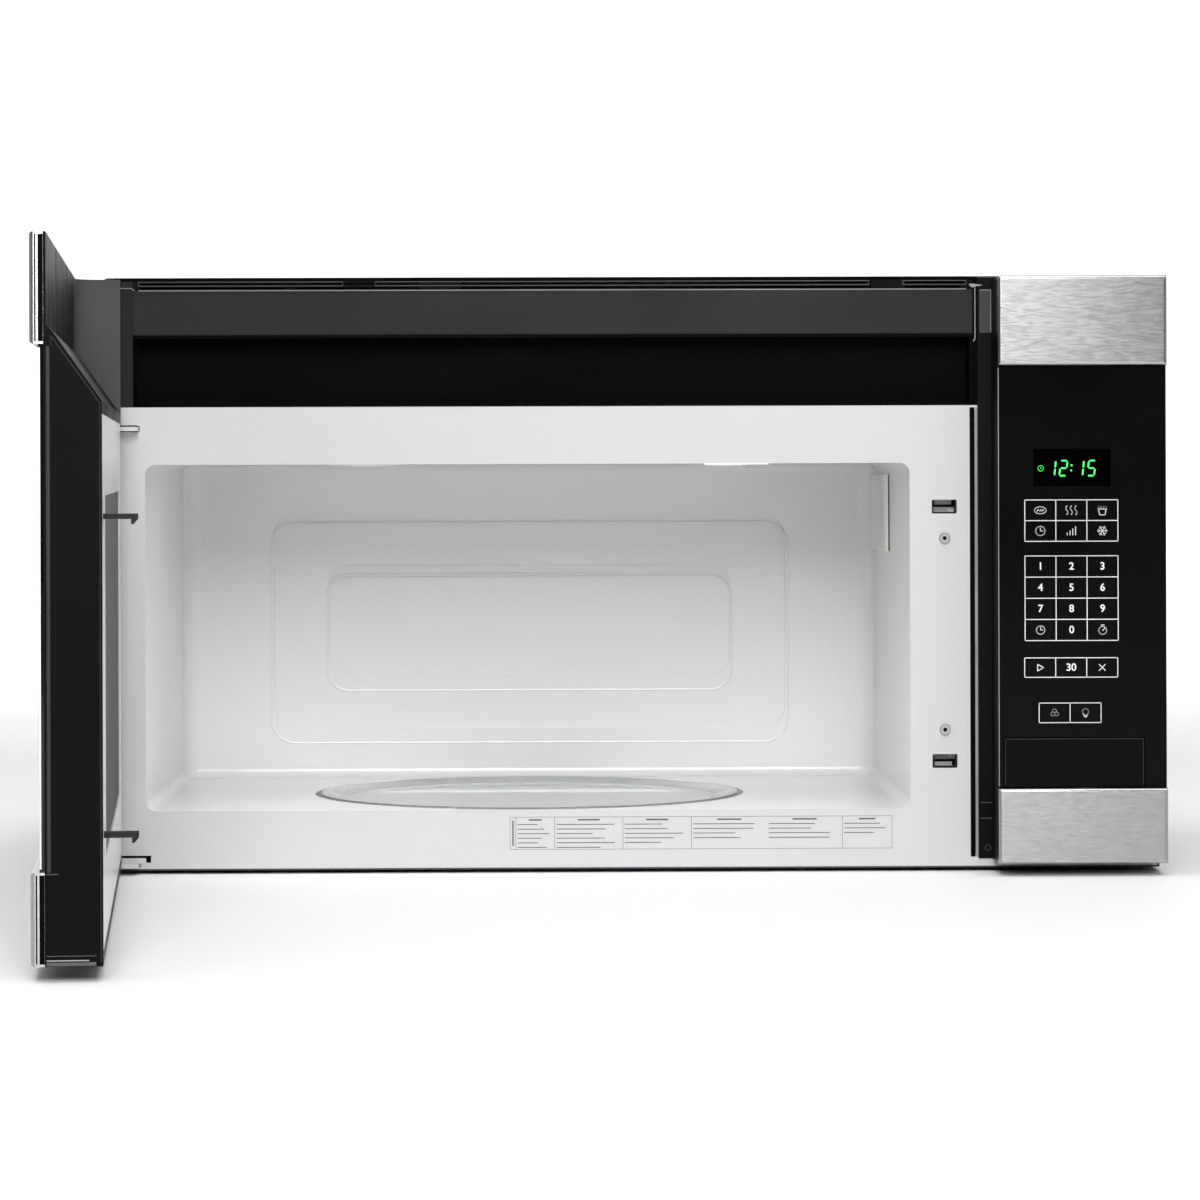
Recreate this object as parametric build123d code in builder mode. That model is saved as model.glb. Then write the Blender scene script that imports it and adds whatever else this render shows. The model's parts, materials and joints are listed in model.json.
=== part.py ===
"""Over-the-range microwave, standing open, as an assembly of separate pieces.

Millimetres. The origin is the middle of the rear face, which lies against the wall. X runs to the
right as seen from the front, Y runs back to the wall and Z runs up. The door pieces are drawn shut,
where they are easy to set against the case, and each is then swung open about the hinge.
"""

import os
from math import cos, radians, sin, sqrt

from build123d import *

os.makedirs("parts", exist_ok=True)

# ---- Driving dimensions ----------------------------------------------------------------------

# Case
case_width = 759.0
case_height = 426.0
case_depth = 352.0
sheet = 1.2
case_corner = 3.0
flange_depth = 12.0

# Door and control panel, which stand side by side in front of the case
front_depth = 46.0
front_height = 418.0
front_drop = 6.5
panel_width = 120.5
panel_gap = 2.0
strip_proud = 5.0
strip_top_height = 64.0
strip_low_height = 53.6
strip_wall = 1.2
strip_edge = 2.5
glass_thickness = 3.0
glass_round = 1.0

# Oven
oven_left = 29.5
oven_height = 249.0
latch_margin = 57.0
oven_back_gap = 17.0
oven_floor_height = 42.6
oven_corner = 7.0
oven_rear_corner = 14.0
opening_corner = 7.0
oven_wall = 1.0
frame_height = 333.0
groove_offset = 10.0
groove_width = 3.0
groove_margin = (8.0, 2.0)

# Stamped steps in the oven's rear wall
step_depth = 3.0
outer_step = (408.0, 171.0, 17.0)
inner_step = (320.0, 89.0, 15.0)

# Turntable
well_margin = 5.5
well_depth = 20.0
tray_gap = 4.5
tray_thickness = 4.0
tray_rim_width = 15.0
tray_rim_rise = 8.0
tray_rim_land = 6.0
tray_bend = 6.0
tray_edge = 1.0
tray_lug = 3.0
roller_radius = 6.2
roller_width = 7.0
roller_count = 3
ring_radius = 96.0
ring_width = 8.0
ring_thickness = 5.0
hub_ring_radius = 28.0
hub_ring_width = 6.0
ring_arm_width = 7.0
axle_radius = 1.5
axle_head_radius = 2.6
axle_head_length = 2.0
coupler_radius = 20.0
coupler_hub_radius = 9.0
coupler_arm_width = 7.0
coupler_height = 9.0
coupler_arms = 3
shaft_radius = 2.5
motor_radius = 25.0
motor_floor_gap = 3.0
motor_chamfer = 2.0
motor_ear = (14.0, 12.0, 1.5)

# Door
door_angle = 85.3
door_back_gap = 5.0
hinge_inset = 7.0
hinge_behind = 6.0
pin_radius = 3.0
pin_length = 12.0
hinge_plate_thickness = 3.0
hinge_upper_height = 316.0
hinge_neck = 4.0
hinge_reach = 18.0
hinge_tab_length = 15.0
hinge_tab_thickness = 2.0
shoulder_height = 322.0
slope_height = 360.0
slope_depth = 14.0
fascia_depth = 9.5
fascia_break = 5.0
door_skin = 4.0
door_rim = 7.5
end_wall = 5.0
end_blend = 20.0
choke_overlap = 13.0
choke_depth = 21.0
choke_inner_inset = 12.0
choke_cover_thickness = 2.5
window_margin = 18.0
window_sheet = 1.5
screen_margin = 6.0
door_steel = 1.0

# Latch
hook_upper_height = 260.0
hook_lower_height = 76.7
hook_length = 20.0
hook_width = 12.0
hook_thickness = 3.0
hook_nib = 3.0
hook_nib_length = 4.0
hook_offset = 32.0
hook_rise = 0.5
key_travel = 4.0
key_width = 16.0
key_thickness = 4.0
key_overrun = 16.0
rib_thickness = 2.0
latch_slot_width = 18.0
latch_slot_height = 10.0
latch_slot_corner = 1.0
latch_width = 32.0
latch_depth = 20.8
latch_front = 8.8
latch_wall = 5.0
latch_side = 2.0
latch_back = 3.2
latch_overrun = 22.0
catch_gap = 0.4
window_headroom = 1.4
finger_thickness = 3.0
finger_width = 8.0
slider_thickness = 3.0
slider_end = 8.0
switch_size = (28.0, 10.0, 16.0)
switch_plunger = (1.5, 4.0)
middle_switch_lift = 30.0
door_slot_height = 22.0

# Release button
button_width = 100.0
button_height = 35.4
button_thickness = 6.0
button_round = 1.0
button_travel = 4.5
button_left = 4.3
stem_inset = 12.0
stem_width = 12.0
stem_height = 8.0
stem_window = 10.0

# Control panel
bezel_wall = 2.5
bezel_flange = 10.0
flange_foot = 1.2
flange_step = (35.0, 46.0)
pad_inset = (1.5, 1.0)
pad_proud = 1.0
pad_heights = (385.0, 416.0)
bezel_round = 1.5
display_width = 54.4
display_height = 26.0
display_left = 26.0
display_base_height = 275.0
display_depth = 12.0
display_recess = 0.2
display_border = 4.0
board_thickness = 1.6
board_height = 190.0
board_base_height = 150.0
relay_count = 4
relay_size = (14.0, 9.0, 20.0)
relay_pitch = 24.0
relay_height = 30.0
buzzer_size = (7.0, 16.0)
buzzer_height = 80.0
supply_size = (36.0, 16.0, 30.0)
supply_height = 120.0

# Top vent
louvre_height = 9.4
louvre_slot = 1.6
louvre_rows = 2
louvre_groups = ((0.010, 0.340), (0.390, 0.880), (0.920, 0.990))
grille_height = 31.0
grille_thickness = 3.0
grille_lip = 9.0
recess_depth = 30.0
recess_wall = 2.0
vent_post = 16.0
vent_left = 4.0
carbon_width = 260.0
carbon_depth = 10.0
carbon_cell = 15.0
carbon_pitch = 20.0
carbon_border = 4.0

# Blower
blower_radius = 50.0
blower_wheel_width = 70.0
blower_inlet_radius = 41.0
blower_vanes = 24
vane_thickness = 1.2
vane_length = 11.0
vane_lean = 35.0
wheel_plate = 2.0
wheel_rim = (3.0, 5.0)
wheel_hub = (9.0, 20.0)
scroll_gap = 5.0
scroll_growth = 13.0
scroll_wall = 1.5
scroll_arcs = 5
outlet_reach = 105.0
blower_motor_radius = 40.0
blower_motor_width = 62.0
blower_shaft_radius = 3.0
blower_motor_gap = 4.0
blower_back = 75.0
blower_foot = (10.0, 40.0)
motor_cradle = (42.0, 30.0, 4.0)

# Power parts in the right-hand compartment
transformer_size = (100.0, 60.0, 84.0)
transformer_leg = 32.0
transformer_window = 17.0
transformer_yoke = 16.0
transformer_foot = (12.0, 14.0, 3.0)
transformer_shift = (12.0, 10.0)
winding_overhang = 17.0
winding_corner = 12.0
winding_split = 0.4
winding_gap = 2.0
waveguide_depth = 38.0
waveguide_length = 84.0
waveguide_height = 64.0
waveguide_flange = 12.0
waveguide_cover_size = (4.0, 152.0, 60.0)
waveguide_cover_back = 15.0
waveguide_cover_gap = 1.0
guide_cover_corner = 4.0
guide_cover_edge = 1.5
guide_corner = 5.0
magnetron_yoke = (52.0, 84.0, 74.0)
yoke_wall = 2.0
magnetron_fins = 5
fin_thickness = 1.0
fin_margin = 3.0
anode_radius = 20.0
antenna_radius = 7.0
antenna_length = 24.0
antenna_gap = 2.0
filter_box = (42.0, 62.0, 54.0)
box_corner = 3.0
terminal = (6.0, 8.0, 1.0)
fan_radius = 50.0
fan_blades = 5
fan_blade_width = 26.0
fan_blade_thickness = 1.4
blade_overlap = 3.0
blade_tip = 1.0
fan_pitch = 32.0
fan_hub = (12.0, 14.0)
fan_tip_gap = 2.0
fan_duct_length = 58.0
fan_duct_wall = 3.0
fan_duct_corner = 8.0
fan_arm = (10.0, 3.0)
fan_side = 20.0
fan_motor_size = (42.0, 24.0, 46.0)
fan_motor_corner = 3.0
capacitor_size = (32.0, 54.0, 98.0)
can_chamfer = 2.0
terminal_side = 11.0
capacitor_side = 8.0
capacitor_gap = 14.0
lamp_size = 36.0
lamp_corner = 6.0
lamp_base = (10.0, 10.0)
lamp_place = (96.0, 46.0)

# Underside
filter_size = (193.0, 128.0, 3.0)
filter_corner = 3.0
filter_border = 9.0
filter_ledge = 6.0
filter_travel = 8.0
filter_channel = 12.0
filter_spread = 304.0
filter_back = 40.0
mesh_recess = 0.7
pull_size = (14.0, 2.0)
pull_drop = 2.0
pull_back = 6.0
lamp_cover_size = (96.0, 58.0, 2.0)
lamp_cover_left = 225.0
lamp_cover_front = 20.0
lamp_pin_radius = 1.5
lamp_pin_length = 4.8
lamp_pin_lift = 3.2
lamp_lug = 3.0
bulb_radius = 7.0
bulb_length = 26.0
bulb_lift = 14.0
bulb_socket = (20.0, 16.0)

# Fasteners, mounts and cord gland
screw_radius = 4.0
screw_head = 2.2
screw_shank_radius = 1.8
screw_length = 9.0
panel_screw_head = (2.8, 1.8)
panel_screw_shank = 1.5
panel_screw_length = 8.0
panel_screw_side = 3.6
panel_screw_height = 14.5
latch_screw_offset = 22.7
mount_hole_radius = 3.6
mount_hole_spacing = 508.0
mount_hole_back = 200.0
wall_slot = (30.0, 8.0)
wall_slot_spacing = 270.0
wall_slot_height = 24.0
gland_radius = 11.0
gland_bore = 4.5
gland_lip = 2.0
gland_inset = (60.0, 40.0)

# Clearances
running = 0.05
fitted = 0.2
sliding = 0.3
free = 0.6

# ---- Planes and places worked out from them ----------------------------------------------------

base = -case_height / 2
top = case_height / 2
left, right = -case_width / 2, case_width / 2
inner_left, inner_right = left + sheet, right - sheet
frame_y = -case_depth
frame_back = frame_y + sheet
strip_y = frame_y - front_depth
face_y = strip_y + strip_proud
body_front = face_y + glass_thickness
door_back = frame_y - door_back_gap

front_base = base + front_drop
front_top = front_base + front_height
low_strip_top = front_base + strip_low_height
top_strip_base = front_top - strip_top_height
panel_left = right - panel_width
door_right = panel_left - panel_gap
door_width = door_right - left

oven_x0 = left + oven_left
oven_x1 = door_right - latch_margin
oven_width = oven_x1 - oven_x0
oven_floor = base + oven_floor_height
oven_roof = oven_floor + oven_height
oven_rear = -oven_back_gap
oven_depth = oven_rear - frame_y
oven_x = (oven_x0 + oven_x1) / 2
oven_y = (frame_y + oven_rear) / 2
oven_z = (oven_floor + oven_roof) / 2
frame_top = base + frame_height
well_radius = oven_depth / 2 - well_margin
well_floor = oven_floor - well_depth
tray_radius = well_radius - tray_gap
roller_z = well_floor + sliding + roller_radius
tray_z = roller_z + roller_radius + sliding

hinge_x = left + hinge_inset
hinge_y = door_back - hinge_behind
hinge_axis = Axis((hinge_x, hinge_y, 0), (0, 0, 1))
hook_x = door_right - hook_offset
hook_levels = (base + hook_upper_height, base + hook_lower_height)


def save(builder, name):
    """Name a finished piece and write it."""
    builder.part.label = name
    export_step(builder.part, f"parts/{name}.step")


def save_on_door(builder, name):
    """Swing a piece of the shut door open about the hinge, then name and write it."""
    opened = builder.part.rotate(hinge_axis, -door_angle)
    opened.label = name
    export_step(opened, f"parts/{name}.step")


def cuboid(x, y, z, mode=Mode.ADD):
    """A box between two limits on each axis, in the piece being built."""
    with Locations(((x[0] + x[1]) / 2, (y[0] + y[1]) / 2, (z[0] + z[1]) / 2)):
        Box(x[1] - x[0], y[1] - y[0], z[1] - z[0], mode=mode)


def rod(centre, radius, length, axis="Z", mode=Mode.ADD):
    """A cylinder about its centre, along one axis, in the piece being built."""
    turn = {"X": (0, 90, 0), "Y": (90, 0, 0), "Z": (0, 0, 0)}[axis]
    with Locations(Location(centre, turn)):
        Cylinder(radius, length, mode=mode)


def about(centre, size):
    """Two limits, half a size to each side of a centre."""
    return centre - size / 2, centre + size / 2


# ---- Case --------------------------------------------------------------------------------------

with BuildPart() as outer_case:
    with BuildSketch(Plane.XZ.offset(sheet)):
        with BuildLine():
            Polyline((left, base), (left, top), (right, top), (right, base))
            Polyline((right, base), (inner_right, base), (inner_right, top - sheet))
            Polyline((inner_right, top - sheet), (inner_left, top - sheet))
            Polyline((inner_left, top - sheet), (inner_left, base), (left, base))
        make_face()
    extrude(amount=case_depth - sheet)
    fillet(outer_case.edges().filter_by(Axis.Y).group_by(Axis.Z)[-1], case_corner)
    with Locations((0, -mount_hole_back, top)):
        with GridLocations(mount_hole_spacing, 0, 2, 1):
            Cylinder(mount_hole_radius, 4 * sheet, mode=Mode.SUBTRACT)
    gland_x, gland_y = right - gland_inset[0], -gland_inset[1]
    rod((gland_x, gland_y, top), gland_radius, 4 * sheet, mode=Mode.SUBTRACT)
save(outer_case, "outer_case")

with BuildPart() as rear_plate:
    with BuildSketch(Plane.XZ):
        Rectangle(case_width, case_height)
        fillet(vertices().group_by(Axis.Y)[-1], case_corner)
        with Locations((0, base + wall_slot_height)):
            with GridLocations(wall_slot_spacing, 0, 3, 1):
                SlotOverall(*wall_slot, mode=Mode.SUBTRACT)
    extrude(amount=sheet)
save(rear_plate, "rear_plate")

# A rubber bush lines the hole that the mains lead would leave by.
with BuildPart() as cord_gland:
    waist = gland_x + gland_radius - running
    lip = gland_x + gland_radius + gland_lip
    with BuildSketch(Plane.XZ.offset(-gland_y)):
        with BuildLine():
            Polyline(
                (gland_x + gland_bore, top),
                (waist, top),
                (waist, top - sheet),
                (lip, top - sheet),
                (lip, top - sheet - gland_lip),
                (gland_x + gland_bore, top - sheet - 3 * gland_lip),
                close=True,
            )
        make_face()
    revolve(axis=Axis((gland_x, gland_y, 0), (0, 0, 1)))
save(cord_gland, "cord_gland")

# Grease filters lie on ledges of the base plate. Pushed back, they clear the front ledge.
filter_y = -filter_back - filter_channel - filter_size[1] / 2
filter_z = base + sheet + sliding
filter_xs = about(oven_x, filter_spread)
lamp_x0 = oven_x + lamp_cover_left - lamp_cover_size[0] / 2
lamp_x1 = lamp_x0 + lamp_cover_size[0]
lamp_y0 = frame_y + lamp_cover_front
lamp_y1 = lamp_y0 + lamp_cover_size[1]
lamp_axis_y = lamp_y1 - lamp_pin_radius
lamp_axis_z = base + lamp_pin_lift
lamp_swing = sqrt((lamp_y1 - lamp_axis_y) ** 2 + lamp_pin_lift**2)

with BuildPart() as base_plate:
    cuboid((inner_left, inner_right), (frame_y, -sheet), (base, base + sheet))
    for x in filter_xs:
        front, back = about(filter_y, filter_size[1])
        side = about(x, filter_size[0] + 2 * free)
        hole_y = (front + filter_ledge, back - filter_travel)
        cuboid(side, hole_y, (base, base + sheet), Mode.SUBTRACT)
        lid = base + sheet + filter_size[2] + 2 * sliding
        stop = back + filter_travel + sliding
        cuboid(side, (back - filter_travel, stop + sheet), (lid, lid + sheet))
        cuboid(side, (stop, stop + sheet), (base + sheet, lid))
    lamp_hole_y = (lamp_y0 - free, lamp_axis_y + lamp_swing + free)
    cuboid((lamp_x0 - free, lamp_x1 + free), lamp_hole_y, (base, base + sheet), Mode.SUBTRACT)
    for x0 in (lamp_x0 - free - sheet, lamp_x1 + free):
        ear_z = (base + sheet, lamp_axis_z + 2 * lamp_pin_radius)
        cuboid((x0, x0 + sheet), about(lamp_axis_y, 6 * lamp_pin_radius), ear_z)
    span = lamp_x1 - lamp_x0 + 4 * (free + sheet)
    pin_hole = lamp_pin_radius + running
    rod(((lamp_x0 + lamp_x1) / 2, lamp_axis_y, lamp_axis_z), pin_hole, span, "X", Mode.SUBTRACT)
save(base_plate, "base_plate")

# ---- Front frame and oven ----------------------------------------------------------------------

groove_start = hook_x + latch_slot_width / 2 + groove_offset
groove_x = (groove_start, groove_start + groove_width)
plate_x = (hinge_x + hinge_neck, hinge_x + hinge_reach)
latch_screw_levels = (hook_levels[0] - latch_screw_offset, hook_levels[1] + latch_screw_offset)
screw_hole = screw_shank_radius + running
panel_screw_x = panel_left - panel_screw_side
panel_screw_z = base + panel_screw_height
panel_hole = panel_screw_shank + running
hinge_lower_z = front_base - sliding - hinge_plate_thickness
hinge_upper_z = base + hinge_upper_height
stem_x = about(panel_left + button_left + stem_inset, stem_width)
button_base = low_strip_top + sliding
button_z = button_base + button_height / 2
stem_z = about(button_z, stem_height)

with BuildPart() as front_frame:
    frame_z = (base + sheet, frame_top)
    frame_mid = (frame_z[0] + frame_z[1]) / 2
    with BuildSketch(Plane.XZ.offset(case_depth)):
        with Locations((0, frame_mid)):
            Rectangle(inner_right - inner_left, frame_z[1] - frame_z[0])
    extrude(amount=-flange_depth - sheet)
    with BuildSketch(Plane.XZ.offset(case_depth - sheet)):
        with Locations((0, frame_mid)):
            Rectangle(inner_right - inner_left - 2 * sheet, frame_z[1] - frame_z[0] - 2 * sheet)
    extrude(amount=-flange_depth, mode=Mode.SUBTRACT)
    with BuildSketch(Plane.XZ.offset(case_depth)):
        with Locations((oven_x, oven_z)):
            RectangleRounded(oven_width, oven_height, opening_corner)
        for level in hook_levels:
            with Locations((hook_x, level)):
                RectangleRounded(latch_slot_width, latch_slot_height, latch_slot_corner)
        for plate_z in (hinge_lower_z, hinge_upper_z):
            with Locations(((plate_x[0] + plate_x[1]) / 2, plate_z + hinge_plate_thickness / 2)):
                Rectangle(hinge_reach - hinge_neck + 2 * free, hinge_plate_thickness + 2 * free)
        groove_z = (base + groove_margin[0], frame_top - groove_margin[1])
        with Locations(((groove_x[0] + groove_x[1]) / 2, (groove_z[0] + groove_z[1]) / 2)):
            SlotOverall(groove_z[1] - groove_z[0], groove_x[1] - groove_x[0], rotation=90)
        with Locations(((stem_x[0] + stem_x[1]) / 2, button_z)):
            Rectangle(stem_width + 2 * stem_window, button_height)
    extrude(amount=-sheet, mode=Mode.SUBTRACT)
    for level in latch_screw_levels:
        rod((hook_x, frame_y, level), screw_hole, 4 * sheet, "Y", Mode.SUBTRACT)
    rod((panel_screw_x, frame_y, panel_screw_z), panel_hole, 4 * sheet, "Y", Mode.SUBTRACT)
save(front_frame, "front_frame")


def oven_space(wall):
    """The inside of the oven with its stamped rear wall and its well, grown by a wall."""
    with BuildPart() as space:
        space_x = (oven_x0 - wall, oven_x1 + wall)
        cuboid(space_x, (frame_back, oven_rear + wall), (oven_floor - wall, oven_roof + wall))
        fillet(space.edges().filter_by(Axis.Z).group_by(Axis.Y)[-1], oven_rear_corner + wall)
        front_edges = space.edges().group_by(Axis.Y)[0]
        fillet(space.edges() - space.edges().filter_by(Axis.Z) - front_edges, oven_corner + wall)
        for depth, (width, height, corner) in ((step_depth, outer_step), (2 * step_depth, inner_step)):
            with BuildSketch(Plane.XZ.offset(-oven_rear)):
                with Locations((oven_x, oven_z)):
                    RectangleRounded(width + 2 * wall, height + 2 * wall, corner + wall)
            extrude(amount=-(depth + wall))
        well_height = well_depth + wall + oven_corner
        well_z = well_floor - wall + well_height / 2
        rod((oven_x, oven_y, well_z), well_radius + wall, well_height)
    return space.part


guide_back = oven_rear - waveguide_cover_back
guide_y = (guide_back - waveguide_cover_size[1], guide_back)
guide_top = oven_roof - oven_corner - waveguide_cover_gap
guide_z = (guide_top - waveguide_cover_size[2], guide_top)
guide_mid_y = (guide_y[0] + guide_y[1]) / 2
guide_mid_z = (guide_z[0] + guide_z[1]) / 2

with BuildPart() as oven_cavity:
    add(oven_space(oven_wall))
    add(oven_space(0.0), mode=Mode.SUBTRACT)
    rod((oven_x, oven_y, well_floor), shaft_radius + 2 * free, 4 * oven_wall, mode=Mode.SUBTRACT)
    port_y = about(guide_mid_y, waveguide_length - 2 * waveguide_flange)
    port_z = about(guide_mid_z, waveguide_height - 2 * waveguide_flange)
    cuboid((oven_x1, oven_x1 + oven_wall), port_y, port_z, Mode.SUBTRACT)
save(oven_cavity, "oven_cavity")

with BuildPart() as waveguide_cover:
    cuboid((oven_x1 - waveguide_cover_size[0], oven_x1), guide_y, guide_z)
    fillet(waveguide_cover.edges().filter_by(Axis.X), guide_cover_corner)
    chamfer(waveguide_cover.faces().sort_by(Axis.X)[0].edges(), guide_cover_edge)
save(waveguide_cover, "waveguide_cover")

# ---- Turntable ---------------------------------------------------------------------------------

with BuildPart() as turntable_motor:
    motor_top = well_floor - oven_wall
    motor_height = motor_top - base - sheet - motor_floor_gap
    rod((oven_x, oven_y, motor_top - motor_height / 2), motor_radius, motor_height)
    chamfer(turntable_motor.edges().group_by(Axis.Z)[0], motor_chamfer)
    for side in (-1, 1):
        ear_x = about(oven_x + side * motor_radius, motor_ear[0])
        cuboid(ear_x, about(oven_y, motor_ear[1]), (motor_top - motor_ear[2], motor_top))
    bore_depth = motor_height - motor_floor_gap
    rod((oven_x, oven_y, motor_top - bore_depth / 2), shaft_radius + running, bore_depth, mode=Mode.SUBTRACT)
save(turntable_motor, "turntable_motor")

coupler_top = tray_z - sliding
with BuildPart() as drive_coupler:
    stem_base = motor_top - bore_depth + sliding
    stem_length = coupler_top - stem_base
    rod((oven_x, oven_y, stem_base + stem_length / 2), shaft_radius, stem_length)
    rod((oven_x, oven_y, coupler_top - coupler_height / 2), coupler_hub_radius, coupler_height)
    with BuildSketch(Plane.XY.offset(coupler_top - coupler_height / 2)):
        with Locations((oven_x, oven_y)):
            with PolarLocations(0, coupler_arms):
                with Locations((coupler_radius / 2, 0)):
                    SlotOverall(coupler_radius, coupler_arm_width)
    extrude(amount=coupler_height / 2)
save(drive_coupler, "drive_coupler")

with BuildPart() as glass_tray:
    flat, edge = oven_x + tray_radius - tray_rim_width, oven_x + tray_radius
    floor_z, rim_z = tray_z + tray_thickness, tray_z + tray_rim_rise
    with BuildSketch(Plane.XZ.offset(-oven_y)):
        with BuildLine():
            Polyline(
                (oven_x, floor_z),
                (oven_x, tray_z),
                (flat, tray_z),
                (edge, rim_z - tray_thickness),
                (edge, rim_z),
                (edge - tray_rim_land, rim_z),
                (flat - tray_thickness, floor_z),
                close=True,
            )
        make_face()
        corners = vertices().sort_by(Axis.X)
        fillet(corners[2:4], tray_bend)
        chamfer(corners[4:], tray_edge)
    revolve(axis=Axis((oven_x, oven_y, 0), (0, 0, 1)))
    # Lugs below the glass stand between the coupler's arms.
    with BuildSketch(Plane.XY.offset(tray_z)):
        with Locations((oven_x, oven_y)):
            with PolarLocations(coupler_radius - tray_lug, coupler_arms, start_angle=180 / coupler_arms):
                Circle(tray_lug)
    extrude(amount=-tray_lug)
save(glass_tray, "glass_tray")


def roller_plane(step, reach):
    """A plane square to one roller's axle, at a distance from the turntable's middle."""
    turn = radians(step * 360 / roller_count)
    spot = (oven_x + reach * cos(turn), oven_y + reach * sin(turn), roller_z)
    return Plane(spot, z_dir=(cos(turn), sin(turn), 0))


with BuildPart() as roller_ring:
    ring_z = roller_z - ring_thickness / 2
    with BuildSketch(Plane.XY.offset(ring_z)):
        with Locations((oven_x, oven_y)):
            Circle(ring_radius)
            Circle(ring_radius - ring_width, mode=Mode.SUBTRACT)
            Circle(hub_ring_radius)
            with PolarLocations((ring_radius + hub_ring_radius - ring_width) / 2, roller_count):
                Rectangle(ring_radius - hub_ring_radius, ring_arm_width)
            Circle(hub_ring_radius - hub_ring_width, mode=Mode.SUBTRACT)
    extrude(amount=ring_thickness)
    axle_span = (ring_radius - ring_width / 2, ring_radius + roller_width + 2 * sliding)
    for step in range(roller_count):
        with Locations(roller_plane(step, sum(axle_span) / 2)):
            Cylinder(axle_radius, axle_span[1] - axle_span[0])
        # A head at the end of each axle keeps its roller on.
        with Locations(roller_plane(step, axle_span[1] + axle_head_length / 2)):
            Cylinder(axle_head_radius, axle_head_length)
save(roller_ring, "roller_ring")

for step in range(roller_count):
    with BuildPart() as roller:
        with Locations(roller_plane(step, ring_radius + sliding + roller_width / 2)):
            Cylinder(roller_radius, roller_width)
            Cylinder(axle_radius + running, roller_width, mode=Mode.SUBTRACT)
    save(roller, f"roller_{step + 1}")

# ---- Hinges ------------------------------------------------------------------------------------


def hinge(name, plate_z, pin_up):
    """A hinge plate that comes through the front frame, with its pin pointing into the door."""
    with BuildPart() as plate:
        with BuildSketch(Plane.XY.offset(plate_z)):
            with Locations((hinge_x, hinge_y)):
                Circle(2 * pin_radius)
            with BuildLine():
                Polyline(
                    (hinge_x, hinge_y - 2 * pin_radius),
                    (plate_x[1], hinge_y - 2 * pin_radius),
                    (plate_x[1], frame_back + hinge_tab_thickness),
                    (plate_x[0], frame_back + hinge_tab_thickness),
                    (plate_x[0], hinge_y),
                    (hinge_x, hinge_y),
                    close=True,
                )
            make_face()
        extrude(amount=hinge_plate_thickness)
        # The plate's rear end turns up, or down, against the back of the frame.
        plate_top = plate_z + hinge_plate_thickness
        up_tab, down_tab = (plate_top, plate_top + hinge_tab_length), (plate_z - hinge_tab_length, plate_z)
        tab_z = up_tab if pin_up else down_tab
        cuboid(plate_x, (frame_back, frame_back + hinge_tab_thickness), tab_z)
        pin_z = plate_top + pin_length / 2 if pin_up else plate_z - pin_length / 2
        rod((hinge_x, hinge_y, pin_z), pin_radius, pin_length)
    save(plate, name)


hinge("hinge_lower", hinge_lower_z, True)
hinge("hinge_upper", hinge_upper_z, False)

# ---- Top vent ----------------------------------------------------------------------------------

vent_x0 = inner_left + vent_left
vent_x1 = (groove_x[0] + groove_x[1]) / 2
grille_x0 = vent_x0 + vent_post
vent_roof = top - sheet
grille_base = vent_roof - louvre_height - grille_height

with BuildPart() as vent_duct:
    with BuildSketch(Plane.XZ.offset(case_depth - recess_depth)):
        with Locations(((vent_x0 + vent_x1) / 2, (frame_top + grille_base) / 2)):
            Rectangle(vent_x1 - vent_x0, grille_base - frame_top)
    extrude(amount=recess_depth)
    inner_x = (grille_x0, vent_x1 - recess_wall)
    inner_z = (frame_top + recess_wall, grille_base - recess_wall)
    cuboid(inner_x, (frame_y, frame_y + recess_depth - recess_wall), inner_z, Mode.SUBTRACT)
    cuboid((vent_x0, grille_x0), (frame_y, frame_y + recess_depth), (grille_base, vent_roof))
    fillet(vent_duct.edges().filter_by(Axis.Z).group_by(Axis.X)[0].sort_by(Axis.Y)[0], recess_wall)
save(vent_duct, "vent_duct")

with BuildPart() as vent_grille:
    grille_width = vent_x1 - grille_x0
    cuboid((grille_x0, vent_x1), (frame_y, frame_y + grille_thickness), (grille_base, vent_roof))
    # The lower edge turns back as a stiffening lip.
    cuboid((grille_x0, vent_x1), (frame_y, frame_y + grille_lip), (grille_base, grille_base + recess_wall))
    fillet(vent_grille.edges().filter_by(Axis.X).group_by(Axis.Y)[0].sort_by(Axis.Z)[0], grille_thickness / 2)
    # Thin slots in three groups, with ribs left between the groups.
    for start, end in louvre_groups:
        slot_x = (grille_x0 + start * grille_width, grille_x0 + end * grille_width)
        slot_y = (frame_y, frame_y + grille_thickness)
        for row in range(louvre_rows):
            slot_z = vent_roof - louvre_height * (row + 1) / (louvre_rows + 1)
            cuboid(slot_x, slot_y, about(slot_z, louvre_slot), Mode.SUBTRACT)
save(vent_grille, "vent_grille")

with BuildPart() as charcoal_filter:
    carbon_z = (grille_base + recess_wall, vent_roof - louvre_height)
    carbon_y = (frame_y + grille_thickness, frame_y + grille_thickness + carbon_depth)
    cuboid(about(oven_x, carbon_width), carbon_y, carbon_z)
    with BuildSketch(Plane.XZ.offset(-carbon_y[0])):
        with Locations((oven_x, (carbon_z[0] + carbon_z[1]) / 2)):
            with GridLocations(carbon_pitch, 0, int(carbon_width / carbon_pitch) - 1, 1):
                Rectangle(carbon_cell, carbon_z[1] - carbon_z[0] - 2 * carbon_border)
    extrude(amount=-carbon_depth / 2, mode=Mode.SUBTRACT)
save(charcoal_filter, "charcoal_filter")

# ---- Blower: two vaned wheels on one shaft, each in a scroll, with the motor between them -------

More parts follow.
